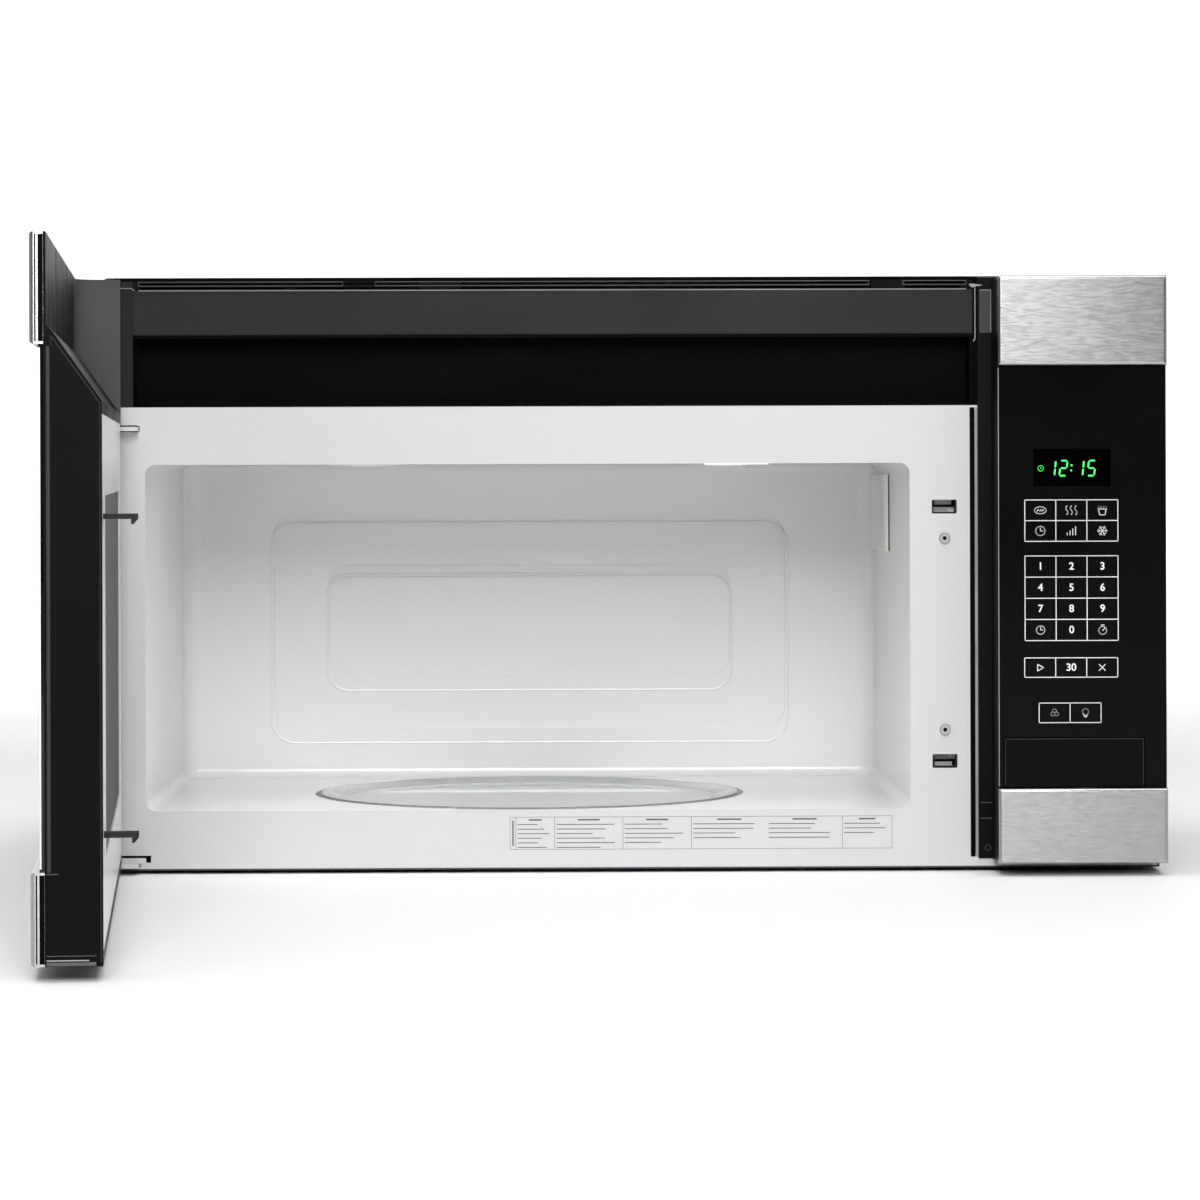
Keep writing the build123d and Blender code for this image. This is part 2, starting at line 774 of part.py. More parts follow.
blower_y = -blower_back
scroll_start, scroll_turn = radians(-40), radians(310)
scroll_low = blower_radius + scroll_gap + scroll_growth * (radians(90) - scroll_start) / scroll_turn
blower_z = oven_roof + oven_wall + free + scroll_wall + scroll_low
wheel_offset = blower_motor_width / 2 + blower_motor_gap + scroll_wall + free + blower_wheel_width / 2
wheel_xs = about(oven_x, 2 * wheel_offset)
scroll_width = blower_wheel_width + 2 * (scroll_wall + free)


def scroll_point(turned, shrink):
    """A point of the scroll on a side view, turned from its tongue down, round the back and up."""
    radius = blower_radius + scroll_gap + scroll_wall + scroll_growth * turned / scroll_turn - shrink
    angle = scroll_start + turned
    return blower_y - radius * cos(angle), blower_z - radius * sin(angle)


def scroll_outline(shrink):
    """A scroll of arcs that grow from its tongue to its outlet, which runs forward at the top."""
    step = scroll_turn / (2 * scroll_arcs)
    points = [scroll_point(step * index, shrink) for index in range(2 * scroll_arcs + 1)]
    front = blower_y - outlet_reach
    with BuildLine() as outline:
        for index in range(0, 2 * scroll_arcs, 2):
            ThreePointArc(*points[index : index + 3])
        Polyline(points[-1], (front, points[-1][1]), (front, points[0][1]), points[0])
    make_face(outline.edges())


with BuildPart() as blower_housing:
    foot_z = (oven_roof + oven_wall, blower_z - scroll_low)
    for x in wheel_xs:
        with BuildSketch(Plane.YZ.offset(x - scroll_width / 2)):
            scroll_outline(0.0)
        extrude(amount=scroll_width)
        # Feet carry each scroll on the oven roof.
        for side in (-1, 1):
            foot_x = about(x + side * (scroll_width - blower_foot[0]) / 2, blower_foot[0])
            cuboid(foot_x, about(blower_y, blower_foot[1]), foot_z)
    # A strap joins the scrolls below the motor.
    strap_z = (foot_z[1] - scroll_wall, foot_z[1])
    cuboid(wheel_xs, about(blower_y, blower_foot[1]), strap_z)
    for x in wheel_xs:
        with BuildSketch(Plane.YZ.offset(x - scroll_width / 2 + scroll_wall)):
            scroll_outline(scroll_wall)
        extrude(amount=scroll_width - 2 * scroll_wall, mode=Mode.SUBTRACT)
        rod((x, blower_y, blower_z), blower_inlet_radius, scroll_width + scroll_wall, "X", Mode.SUBTRACT)
save(blower_housing, "blower_housing")

with BuildPart() as blower_motor:
    rod((oven_x, blower_y, blower_z), blower_motor_radius, blower_motor_width, "X")
    chamfer(blower_motor.edges().filter_by(GeomType.CIRCLE), motor_cradle[2])
    cradle_z = (blower_z - scroll_low, blower_z - blower_motor_radius + motor_cradle[2])
    cuboid(about(oven_x, motor_cradle[0]), about(blower_y, motor_cradle[1]), cradle_z)
    bore = blower_shaft_radius + running
    rod((oven_x, blower_y, blower_z), bore, blower_motor_width + sheet, "X", Mode.SUBTRACT)
save(blower_motor, "blower_motor")

with BuildPart() as blower_wheels:
    for x, inward in zip(wheel_xs, (1, -1)):
        plate_mid = x + inward * (blower_wheel_width - wheel_plate) / 2
        rod((plate_mid, blower_y, blower_z), blower_radius, wheel_plate, "X")
        hub_mid = x + inward * (blower_wheel_width - wheel_hub[1]) / 2
        rod((hub_mid, blower_y, blower_z), wheel_hub[0], wheel_hub[1], "X")
        # The vanes lean forward between the back plate and a rim ring.
        vanes_x = x - blower_wheel_width / 2 + (wheel_plate if inward < 0 else wheel_rim[0])
        with BuildSketch(Plane.YZ.offset(vanes_x)):
            with Locations((blower_y, blower_z)):
                with PolarLocations(blower_radius - vane_length / 2, blower_vanes):
                    with Locations(Location((0, 0), vane_lean)):
                        Rectangle(vane_length, vane_thickness)
        extrude(amount=blower_wheel_width - wheel_plate - wheel_rim[0])
        rim_mid = x - inward * (blower_wheel_width - wheel_rim[0]) / 2
        with BuildSketch(Plane.YZ.offset(rim_mid - wheel_rim[0] / 2)):
            with Locations((blower_y, blower_z)):
                Circle(blower_radius)
                Circle(blower_radius - wheel_rim[1], mode=Mode.SUBTRACT)
        extrude(amount=wheel_rim[0])
    shaft_end = wheel_offset + blower_wheel_width / 2 - 2 * wheel_plate
    rod((oven_x, blower_y, blower_z), blower_shaft_radius, 2 * shaft_end, "X")
save(blower_wheels, "blower_wheels")

# ---- Right-hand compartment --------------------------------------------------------------------

guide_x = (oven_x1 + oven_wall, oven_x1 + oven_wall + waveguide_depth)
with BuildPart() as waveguide:
    cuboid(guide_x, about(guide_mid_y, waveguide_length), about(guide_mid_z, waveguide_height))
    fillet(waveguide.edges().filter_by(Axis.X), guide_corner)
    hollow_y = about(guide_mid_y, waveguide_length - 2 * sheet)
    hollow_z = about(guide_mid_z, waveguide_height - 2 * sheet)
    cuboid((guide_x[0], guide_x[1] - sheet), hollow_y, hollow_z, Mode.SUBTRACT)
    rod((guide_x[1], guide_mid_y, guide_mid_z), antenna_radius + antenna_gap, 4 * sheet, "X", Mode.SUBTRACT)
save(waveguide, "waveguide")

yoke_x, yoke_y, yoke_z = magnetron_yoke
with BuildPart() as magnetron:
    # The yoke is open at both ends in Y, where the cooling air goes through the fins.
    yoke_span = (guide_x[1], guide_x[1] + yoke_x)
    cuboid(yoke_span, about(guide_mid_y, yoke_y), about(guide_mid_z, yoke_z))
    inside_x = (yoke_span[0] + yoke_wall, yoke_span[1] - yoke_wall)
    inside_z = about(guide_mid_z, yoke_z - 2 * yoke_wall)
    cuboid(inside_x, about(guide_mid_y, 2 * yoke_y), inside_z, Mode.SUBTRACT)
    box_span = (yoke_span[1], yoke_span[1] + filter_box[0])
    cuboid(box_span, about(guide_mid_y, filter_box[1]), about(guide_mid_z, filter_box[2]))
    fillet(magnetron.edges().filter_by(Axis.X).group_by(SortBy.LENGTH)[0], box_corner)
    # The antenna stands out of the yoke into the waveguide.
    rod((guide_x[1] - antenna_length / 2, guide_mid_y, guide_mid_z), antenna_radius, antenna_length, "X")
    for side in (-1, 1):
        tab_y = about(guide_mid_y + side * filter_box[1] / 4, terminal[0])
        cuboid((box_span[1], box_span[1] + terminal[1]), tab_y, about(guide_mid_z, terminal[2]))
save(magnetron, "magnetron")

with BuildPart() as magnetron_core:
    core_length = inside_x[1] - inside_x[0]
    core_mid = (inside_x[0] + inside_x[1]) / 2
    rod((core_mid, guide_mid_y, guide_mid_z), anode_radius, core_length, "X")
    for step in range(magnetron_fins):
        fin_x = inside_x[0] + (step + 0.5) * core_length / magnetron_fins
        cuboid(about(fin_x, fin_thickness), about(guide_mid_y, yoke_y - 2 * fin_margin), inside_z)
save(magnetron_core, "magnetron_core")

core_x, core_y, core_z = transformer_size
transformer_x = (oven_x1 + inner_right) / 2 - transformer_shift[0]
transformer_y = guide_mid_y - transformer_shift[1]
transformer_base = base + sheet
with BuildPart() as transformer_core:
    with BuildSketch(Plane.XZ.offset(-(transformer_y + core_y / 2))):
        with Locations((transformer_x, transformer_base + core_z / 2)):
            Rectangle(core_x, core_z)
            window_offset = transformer_leg / 2 + transformer_window / 2
            with GridLocations(2 * window_offset, 0, 2, 1):
                Rectangle(transformer_window, core_z - 2 * transformer_yoke, mode=Mode.SUBTRACT)
    extrude(amount=core_y)
    foot_x = about(transformer_x, core_x + 2 * transformer_foot[0])
    for side in (-1, 1):
        foot_y = about(transformer_y + side * core_y / 4, transformer_foot[1])
        cuboid(foot_x, foot_y, (transformer_base, transformer_base + transformer_foot[2]))
save(transformer_core, "transformer_core")

with BuildPart() as transformer_windings:
    coil_z = (transformer_base + transformer_yoke, transformer_base + core_z - transformer_yoke)
    split = coil_z[0] + (coil_z[1] - coil_z[0]) * winding_split
    coil = (transformer_leg + 2 * transformer_window, core_y + 2 * winding_overhang)
    for low, high in ((coil_z[0], split - winding_gap / 2), (split + winding_gap / 2, coil_z[1])):
        with BuildSketch(Plane.XY.offset(low)):
            with Locations((transformer_x, transformer_y)):
                RectangleRounded(*coil, winding_corner)
                Rectangle(transformer_leg, core_y, mode=Mode.SUBTRACT)
        extrude(amount=high - low)
save(transformer_windings, "transformer_windings")

can_x, can_y, can_z = capacitor_size
with BuildPart() as capacitor:
    capacitor_x = inner_right - capacitor_side - can_x / 2
    capacitor_y = transformer_y - core_y / 2 - winding_overhang - capacitor_gap - can_y / 2
    with BuildSketch(Plane.XY.offset(base + sheet)):
        with Locations((capacitor_x, capacitor_y)):
            SlotOverall(can_y, can_x, rotation=90)
    extrude(amount=can_z)
    chamfer(capacitor.edges().group_by(Axis.Z)[-1], can_chamfer)
    for side in (-1, 1):
        tab_y = about(capacitor_y + side * terminal_side, terminal[0])
        tab_z = (base + sheet + can_z, base + sheet + can_z + terminal[1])
        cuboid(about(capacitor_x, terminal[2]), tab_y, tab_z)
save(capacitor, "capacitor")

# The cooling fan draws through a duct on the rear plate and blows through the magnetron's fins.
fan_x, fan_z = core_mid + fan_side, guide_mid_z
duct_y = (-sheet - fan_duct_length, -sheet)
with BuildPart() as fan_shroud:
    duct_radius = fan_radius + fan_tip_gap
    duct_side = 2 * (duct_radius + fan_duct_wall)
    cuboid(about(fan_x, duct_side), duct_y, about(fan_z, duct_side))
    fillet(fan_shroud.edges().filter_by(Axis.Y), fan_duct_corner)
    rod((fan_x, sum(duct_y) / 2, fan_z), duct_radius, 2 * fan_duct_length, "Y", Mode.SUBTRACT)
    # An arm across the duct's rear end carries the motor.
    arm_y = (-sheet - fan_arm[1], -sheet)
    cuboid(about(fan_x, duct_side - fan_duct_wall), arm_y, about(fan_z, fan_arm[0]))
save(fan_shroud, "fan_shroud")

with BuildPart() as fan_motor:
    motor_y = (arm_y[0] - fan_motor_size[1], arm_y[0])
    cuboid(about(fan_x, fan_motor_size[0]), motor_y, about(fan_z, fan_motor_size[2]))
    fillet(fan_motor.edges().filter_by(Axis.Y), fan_motor_corner)
    bore_y = motor_y[0] + fan_motor_size[1] / 4
    bore = shaft_radius + running
    rod((fan_x, bore_y, fan_z), bore, fan_motor_size[1] / 2, "Y", Mode.SUBTRACT)
save(fan_motor, "fan_motor")

with BuildPart() as cooling_fan:
    hub_y = motor_y[0] - free - fan_hub[1] / 2
    rod((fan_x, hub_y, fan_z), fan_hub[0], fan_hub[1], "Y")
    shaft_y = (hub_y - fan_hub[1] / 2, motor_y[0] + fan_motor_size[1] / 2 - free)
    rod((fan_x, sum(shaft_y) / 2, fan_z), shaft_radius, shaft_y[1] - shaft_y[0], "Y")
    blade_root = fan_hub[0] - blade_overlap
    blade_length = fan_radius - blade_tip - blade_root
    blade_mid = blade_root + blade_length / 2
    for step in range(fan_blades):
        turn = step * 360 / fan_blades
        spot = (fan_x + blade_mid * cos(radians(turn)), hub_y, fan_z + blade_mid * sin(radians(turn)))
        with Locations(Location(spot, (0, -turn, 0))):
            with Locations(Location((0, 0, 0), (fan_pitch, 0, 0))):
                Box(blade_length, fan_blade_thickness, fan_blade_width)
save(cooling_fan, "cooling_fan")

with BuildPart() as cavity_lamp:
    lamp_x = (oven_x1 + oven_wall, oven_x1 + oven_wall + lamp_size)
    lamp_mid_y, lamp_mid_z = frame_y + lamp_place[0], oven_roof - lamp_place[1]
    cuboid(lamp_x, about(lamp_mid_y, lamp_size), about(lamp_mid_z, lamp_size))
    fillet(cavity_lamp.edges().filter_by(Axis.X), lamp_corner)
    rod((lamp_x[1] + lamp_base[1] / 2, lamp_mid_y, lamp_mid_z), *lamp_base, "X")
save(cavity_lamp, "cavity_lamp")

# ---- Underside ---------------------------------------------------------------------------------

for name, x in zip(("grease_filter_left", "grease_filter_right"), filter_xs):
    with BuildPart() as grease_filter:
        width, depth, thick = filter_size
        cuboid(about(x, width), about(filter_y, depth), (filter_z, filter_z + thick))
        fillet(grease_filter.edges().filter_by(Axis.Z), filter_corner)
        for low, high in ((0.0, mesh_recess), (thick - mesh_recess, thick)):
            mesh_x = about(x, width - 2 * filter_border)
            mesh_y = about(filter_y, depth - 2 * filter_border)
            cuboid(mesh_x, mesh_y, (filter_z + low, filter_z + high), Mode.SUBTRACT)
        # A tab to pull it by hangs at the front edge.
        pull_y = about(filter_y - depth / 2 + filter_ledge + pull_back, pull_size[1])
        cuboid(about(x, pull_size[0]), pull_y, (base - pull_drop, filter_z + mesh_recess))
    save(grease_filter, name)

with BuildPart() as lamp_cover:
    cover_z = (base, base + lamp_cover_size[2])
    cuboid((lamp_x0, lamp_x1), (lamp_y0, lamp_y1), cover_z)
    for x0 in (lamp_x0 + sliding, lamp_x1 - sliding - lamp_lug):
        lug_z = (cover_z[1], lamp_axis_z + lamp_pin_radius)
        cuboid((x0, x0 + lamp_lug), about(lamp_axis_y, 2 * lamp_pin_radius), lug_z)
    pin_span = lamp_x1 - lamp_x0 + 2 * (free + sheet)
    for side in (-1, 1):
        pin_x = (lamp_x0 + lamp_x1) / 2 + side * (pin_span - lamp_pin_length) / 2
        rod((pin_x, lamp_axis_y, lamp_axis_z), lamp_pin_radius, lamp_pin_length, "X")
save(lamp_cover, "lamp_cover")

with BuildPart() as cooktop_lamp:
    # A small reflector lamp hangs from a bracket that stands on the base plate.
    bulb_x, bulb_y = (lamp_x0 + lamp_x1) / 2, (lamp_y0 + lamp_y1) / 2
    bulb_z = base + bulb_lift
    side_x = lamp_x1 + free + sheet
    socket_z = about(bulb_z, bulb_socket[1])
    cuboid((side_x, side_x + sheet), about(bulb_y, bulb_socket[0]), (base + sheet, socket_z[1]))
    cuboid((bulb_x + bulb_length / 2, side_x + sheet), about(bulb_y, bulb_socket[0]), socket_z)
    rod((bulb_x + bulb_length / 4, bulb_y, bulb_z), bulb_radius, bulb_length, "X")
    chamfer(cooktop_lamp.faces().sort_by(Axis.X)[0].edges(), bulb_radius / 2)
save(cooktop_lamp, "cooktop_lamp")

# ---- Control panel -----------------------------------------------------------------------------

panel_mid = (panel_left + right) / 2
pad_z = (base + pad_heights[0], base + pad_heights[1])
display_x = panel_left + display_left + display_width / 2
display_z = base + display_base_height + display_height / 2
button_x = panel_left + button_left + button_width / 2


def panel_windows(mode=Mode.ADD):
    """The display window and the button's hole, on a front view."""
    with Locations((display_x, display_z)):
        Rectangle(display_width + 2 * sliding, display_height + 2 * sliding, mode=mode)
    with Locations((button_x, button_z)):
        Rectangle(button_width + 2 * sliding, button_height + 2 * sliding, mode=mode)


with BuildPart() as panel_bezel:
    cuboid((panel_left, right), (body_front, frame_y), (front_base, front_top))
    # The flange beside the door opening is thinner at its foot, where a screw holds it.
    with BuildSketch(Plane.YZ.offset(panel_left - bezel_flange)):
        with BuildLine():
            Polyline(
                (frame_y, front_base),
                (frame_y - flange_foot, front_base),
                (frame_y - flange_foot, base + flange_step[0]),
                (frame_y - bezel_wall, base + flange_step[1]),
                (frame_y - bezel_wall, front_top),
                (frame_y, front_top),
                close=True,
            )
        make_face()
    extrude(amount=bezel_flange)
    pad_x = (panel_left - bezel_flange + pad_inset[0], panel_left - pad_inset[1])
    cuboid(pad_x, (frame_y - bezel_wall - pad_proud, frame_y - bezel_wall), pad_z)
    rod((panel_screw_x, frame_y, panel_screw_z), panel_hole, 4 * bezel_wall, "Y", Mode.SUBTRACT)
    fillet(panel_bezel.edges().filter_by(Axis.Z).group_by(Axis.Y)[0], bezel_round)
    bezel_x = (panel_left + bezel_wall, right - bezel_wall)
    bezel_z = (front_base + bezel_wall, front_top - bezel_wall)
    cuboid(bezel_x, (body_front + bezel_wall, frame_y), bezel_z, Mode.SUBTRACT)
    with BuildSketch(Plane.XZ.offset(-body_front)):
        panel_windows()
    extrude(amount=-bezel_wall, mode=Mode.SUBTRACT)
save(panel_bezel, "panel_bezel")

with BuildPart() as key_overlay:
    with BuildSketch(Plane.XZ.offset(-body_front)):
        with Locations((panel_mid, (low_strip_top + top_strip_base) / 2)):
            Rectangle(panel_width - 2 * sliding, top_strip_base - low_strip_top)
        panel_windows(Mode.SUBTRACT)
    extrude(amount=glass_thickness)
    fillet(key_overlay.edges().filter_by(Axis.Z).group_by(Axis.Y)[0].sort_by(Axis.X)[-1], glass_round)
save(key_overlay, "key_overlay")

with BuildPart() as display_module:
    glass_x, glass_z = about(display_x, display_width), about(display_z, display_height)
    cuboid(glass_x, (face_y + display_recess, body_front + bezel_wall), glass_z)
    case_x = about(display_x, display_width + 2 * display_border)
    case_z = about(display_z, display_height + 2 * display_border)
    board_y = body_front + bezel_wall + display_depth
    cuboid(case_x, (body_front + bezel_wall, board_y), case_z)
save(display_module, "display_module")

with BuildPart() as control_board:
    board_z = (base + board_base_height, base + board_base_height + board_height)
    cuboid(bezel_x, (board_y, board_y + board_thickness), board_z)
    parts_y = board_y + board_thickness
    relay_z = about(board_z[0] + relay_height, relay_size[2])
    for step in range(relay_count):
        relay_x = panel_mid + (step - (relay_count - 1) / 2) * relay_pitch
        cuboid(about(relay_x, relay_size[0]), (parts_y, parts_y + relay_size[1]), relay_z)
    buzzer_y = parts_y + buzzer_size[1] / 2
    rod((panel_mid, buzzer_y, board_z[0] + buzzer_height), *buzzer_size, "Y")
    supply_z = about(board_z[0] + supply_height, supply_size[2])
    cuboid(about(panel_mid, supply_size[0]), (parts_y, parts_y + supply_size[1]), supply_z)
save(control_board, "control_board")


def steel_strip(x, z):
    """A drawn steel strip: a shallow tray, open at the back, with rolled edges all round."""
    with BuildPart() as strip:
        cuboid(x, (strip_y, body_front), z)
        fillet(strip.faces().sort_by(Axis.Y)[0].edges(), strip_edge)
        inner_x = (x[0] + strip_wall, x[1] - strip_wall)
        inner_z = (z[0] + strip_wall, z[1] - strip_wall)
        cuboid(inner_x, (strip_y + strip_edge, body_front), inner_z, Mode.SUBTRACT)
    return strip


save(steel_strip((panel_left, right), (top_strip_base, front_top)), "panel_strip_upper")
save(steel_strip((panel_left, right), (front_base, low_strip_top)), "panel_strip_lower")

# ---- Door release: the button's wedge lifts a slider, which lifts both hooks --------------------

latch_span = about(hook_x, latch_width)
latch_y = (frame_back, frame_back + latch_depth)
channel_x = (latch_span[0] + latch_wall, latch_span[1] - latch_wall)
channel_y = (latch_y[0] + latch_front, latch_y[1] - latch_back)
latch_z = (hook_levels[1] - latch_overrun, hook_levels[0] + latch_overrun)
hook_tip = door_back + hook_length
nib_y = (hook_tip - hook_nib_length, hook_tip)
nib_low = hook_rise - hook_nib
finger_top = nib_low - button_travel - catch_gap
foot_top = stem_z[1] + finger_thickness

with BuildPart() as latch_body:
    with BuildSketch(Plane.XY.offset(latch_z[0])):
        with Locations((hook_x, sum(latch_y) / 2)):
            Rectangle(latch_width, latch_depth)
        with Locations((hook_x, sum(channel_y) / 2)):
            Rectangle(channel_x[1] - channel_x[0], channel_y[1] - channel_y[0], mode=Mode.SUBTRACT)
    extrude(amount=latch_z[1] - latch_z[0])
    # Each hook drops behind the lower edge of its window.
    for level in hook_levels:
        shank_top = level + hook_rise + hook_thickness
        window_x = about(hook_x, hook_width + 2 * latch_side)
        window_z = (level + hook_rise - key_travel - catch_gap, shank_top + window_headroom)
        cuboid(window_x, (latch_y[0], channel_y[0]), window_z, Mode.SUBTRACT)
    for level in latch_screw_levels:
        rod((hook_x, latch_y[0], level), screw_hole, 2 * (screw_length + free), "Y", Mode.SUBTRACT)
    # The slider's foot reaches out of the side towards the button.
    foot_window = (stem_z[0] - free, foot_top + button_travel + free)
    cuboid((channel_x[1], latch_span[1]), channel_y, foot_window, Mode.SUBTRACT)
save(latch_body, "latch_body")

with BuildPart() as interlock_switches:
    plunger_radius, plunger_length = switch_plunger
    switch_y = (latch_y[1], latch_y[1] + switch_size[1])
    for height in (hook_levels[0], hook_levels[1] + middle_switch_lift, hook_levels[1]):
        cuboid(about(hook_x, switch_size[0]), switch_y, about(height, switch_size[2]))
        spot = (hook_x + switch_size[0] / 4, switch_y[1] + plunger_length / 2, height)
        rod(spot, plunger_radius, plunger_length, "Y")
save(interlock_switches, "interlock_switches")

stem_tip = channel_y[0] + free
with BuildPart() as release_button:
    cap_y = (face_y, face_y + button_thickness)
    cuboid(about(button_x, button_width), cap_y, about(button_z, button_height))
    fillet(release_button.faces().sort_by(Axis.Y)[0].edges(), button_round)
    cuboid(stem_x, (cap_y[1], stem_tip), stem_z)
    # The tip of the stem is a wedge that faces back and up.
    with BuildSketch(Plane.YZ.offset(stem_x[0])):
        with BuildLine():
            Polyline(
                (stem_tip, stem_z[0]),
                (stem_tip + stem_height, stem_z[0]),
                (stem_tip, stem_z[1]),
                close=True,
            )
        make_face()
    extrude(amount=stem_width)
save(release_button, "release_button")

with BuildPart() as release_slider:
    bar_y = (channel_y[1] - sliding - slider_thickness, channel_y[1] - sliding)
    bar_x = (channel_x[0] + sliding, channel_x[1] - sliding)
    bar_z = (latch_z[0] + slider_end, latch_z[1] - slider_end - button_travel)
    cuboid(bar_x, bar_y, bar_z)
    for level in hook_levels:
        finger_z = (level + finger_top - finger_thickness, level + finger_top)
        cuboid(about(hook_x, finger_width), (nib_y[0], bar_y[0]), finger_z)
    # A foot stands over the button's wedge, with its lower face cut to the wedge's slope.
    slope_y = stem_tip + sliding * sqrt(2)
    with BuildSketch(Plane.YZ.offset(stem_x[0])):
        with BuildLine():
            Polyline(
                (slope_y, stem_z[1]),
                (slope_y + stem_height, stem_z[0]),
                (bar_y[1] + slider_thickness, stem_z[0]),
                (bar_y[1] + slider_thickness, foot_top),
                (slope_y, foot_top),
                close=True,
            )
        make_face()
    extrude(amount=stem_width)
    cuboid((bar_x[1] - slider_thickness, stem_x[0]), bar_y, (stem_z[1], foot_top))
save(release_slider, "release_slider")

# ---- Door, drawn shut ----------------------------------------------------------------------------

pocket_x = (left + door_rim, door_right - door_rim)
pocket_z = (front_base + door_rim, front_base + shoulder_height - door_rim)
pocket_y = body_front + door_skin
window_x = (oven_x0 + window_margin + choke_inner_inset, oven_x1 - window_margin - choke_inner_inset)
window_z = (oven_floor + window_margin, oven_roof - window_margin)
notch_z = (hinge_upper_z - free, hinge_upper_z + hinge_plate_thickness + free)
notch_reach = sqrt(hinge_reach**2 + (2 * pin_radius) ** 2) + sliding
ring_outer_x = (oven_x0 - choke_overlap, oven_x1 + choke_overlap)
ring_outer_z = (oven_floor - choke_overlap, oven_roof + choke_overlap)
ring_inner_x = (oven_x0 + choke_inner_inset, oven_x1 - choke_inner_inset)
ring_inner_z = (oven_floor + choke_inner_inset, oven_roof - choke_inner_inset)
cover_y = (door_back - choke_cover_thickness, door_back)
steel_y = (cover_y[0] - choke_depth, cover_y[0])

with BuildPart() as door_body:
    with BuildSketch(Plane.YZ.offset(left)):
        with BuildLine():
            Polyline(
                (body_front, front_base),
                (door_back, front_base),
                (door_back, front_base + shoulder_height),
                (strip_y + slope_depth, front_base + slope_height),
                (strip_y + fascia_depth, front_base + slope_height + fascia_break),
                (strip_y + fascia_depth, front_top),
                (body_front, front_top),
                close=True,
            )
        make_face()
    extrude(amount=door_width)
    # At the hinge side an end wall closes the duct behind the fascia, blended into it.
    with BuildSketch(Plane.XY.offset(front_base + shoulder_height)):
        with BuildLine():
            wall_x, fascia_y = left + end_wall, strip_y + fascia_depth
            Polyline(
                (wall_x, fascia_y + end_blend),
                (wall_x, door_back),
                (left, door_back),
                (left, body_front),
                (wall_x + end_blend, body_front),
                (wall_x + end_blend, fascia_y),
            )
            CenterArc((wall_x + end_blend, fascia_y + end_blend), end_blend, 180, 90)
        make_face()
    extrude(amount=front_top - front_base - shoulder_height)
    cuboid(pocket_x, (pocket_y, door_back), pocket_z, Mode.SUBTRACT)
    cuboid(window_x, (body_front, pocket_y), window_z, Mode.SUBTRACT)
    # Corner posts in the pocket carry the hinge pins.
    post_x = (left + door_rim, ring_outer_x[0] - sliding)
    post_y = (hinge_y - 2 * hinge_behind, cover_y[0])
    post_zs = (pocket_z[0], front_base + 2 * pin_length), (notch_z[0] - 2 * pin_length, pocket_z[1])
    for post_z in post_zs:
        cuboid(post_x, post_y, post_z)
    # Ribs guide the door key at the free edge.
    key_x = about(hook_x, key_width)
    key_y = (steel_y[0] + sliding, steel_y[0] + sliding + key_thickness)
    rib_z = (hook_levels[1] + door_slot_height, hook_levels[0] - door_slot_height)
    rib_y = (pocket_y, key_y[1] + rib_thickness)
    for rib_mid in about(hook_x, key_width + 2 * sliding + rib_thickness):
        cuboid(about(rib_mid, rib_thickness), rib_y, rib_z)
    cuboid(key_x, (pocket_y, key_y[0] - sliding), rib_z)
    # A notch lets the upper hinge plate in at the corner.
    notch_x = (left - free, hinge_x + notch_reach)
    notch_y = (hinge_y - 2 * pin_radius - free, door_back)
    cuboid(notch_x, notch_y, notch_z, Mode.SUBTRACT)
    for pin_z in (front_base + pin_length / 2, notch_z[0] - pin_length / 2):
        rod((hinge_x, hinge_y, pin_z), pin_radius + running, pin_length + 2 * free, mode=Mode.SUBTRACT)
save_on_door(door_body, "door_body")

with BuildPart() as door_glass:
    cuboid((left + sliding, door_right - sliding), (face_y, body_front), (low_strip_top, top_strip_base))
    fillet(door_glass.edges().filter_by(Axis.Z).group_by(Axis.Y)[0], glass_round)
save_on_door(door_glass, "door_glass")

door_x = (left, door_right)
save_on_door(steel_strip(door_x, (top_strip_base, front_top)), "door_strip_upper")
save_on_door(steel_strip(door_x, (front_base, low_strip_top)), "door_strip_lower")

with BuildPart() as door_frame:
    # A pressed pan: an outer flange, a choke channel round the window, and the screen's carrier.
    cuboid(ring_outer_x, steel_y, ring_outer_z)
    outer_hole = (
        (ring_outer_x[0] + door_steel, ring_outer_x[1] - door_steel),
        (steel_y[0] + door_steel, steel_y[1]),
        (ring_outer_z[0] + door_steel, ring_outer_z[1] - door_steel),
    )
    cuboid(*outer_hole, Mode.SUBTRACT)
    cuboid(ring_inner_x, steel_y, ring_inner_z)
    inner_hole = (
        (ring_inner_x[0] + door_steel, ring_inner_x[1] - door_steel),
        (steel_y[0], steel_y[1] - door_steel),
        (ring_inner_z[0] + door_steel, ring_inner_z[1] - door_steel),
    )
    cuboid(*inner_hole, Mode.SUBTRACT)
    screen_x = (window_x[0] + screen_margin, window_x[1] - screen_margin)
    screen_z = (window_z[0] + screen_margin, window_z[1] - screen_margin)
    cuboid(screen_x, steel_y, screen_z, Mode.SUBTRACT)
save_on_door(door_frame, "door_frame")

with BuildPart() as window_screen:
    cuboid(screen_x, (steel_y[1] - door_steel, steel_y[1]), screen_z)
save_on_door(window_screen, "window_screen")

with BuildPart() as choke_cover:
    cover_x = (pocket_x[0] + fitted, pocket_x[1] - fitted)
    cover_z = (pocket_z[0] + fitted, pocket_z[1] - fitted)
    cuboid(cover_x, cover_y, cover_z)
    cuboid(window_x, cover_y, window_z, Mode.SUBTRACT)
    for level in hook_levels:
        slot_z = about(level, door_slot_height)
        cuboid(about(hook_x, hook_width + 2 * latch_side), cover_y, slot_z, Mode.SUBTRACT)
    corner_z = (notch_z[0], cover_z[1])
    cuboid((cover_x[0], notch_x[1]), cover_y, corner_z, Mode.SUBTRACT)
save_on_door(choke_cover, "choke_cover")

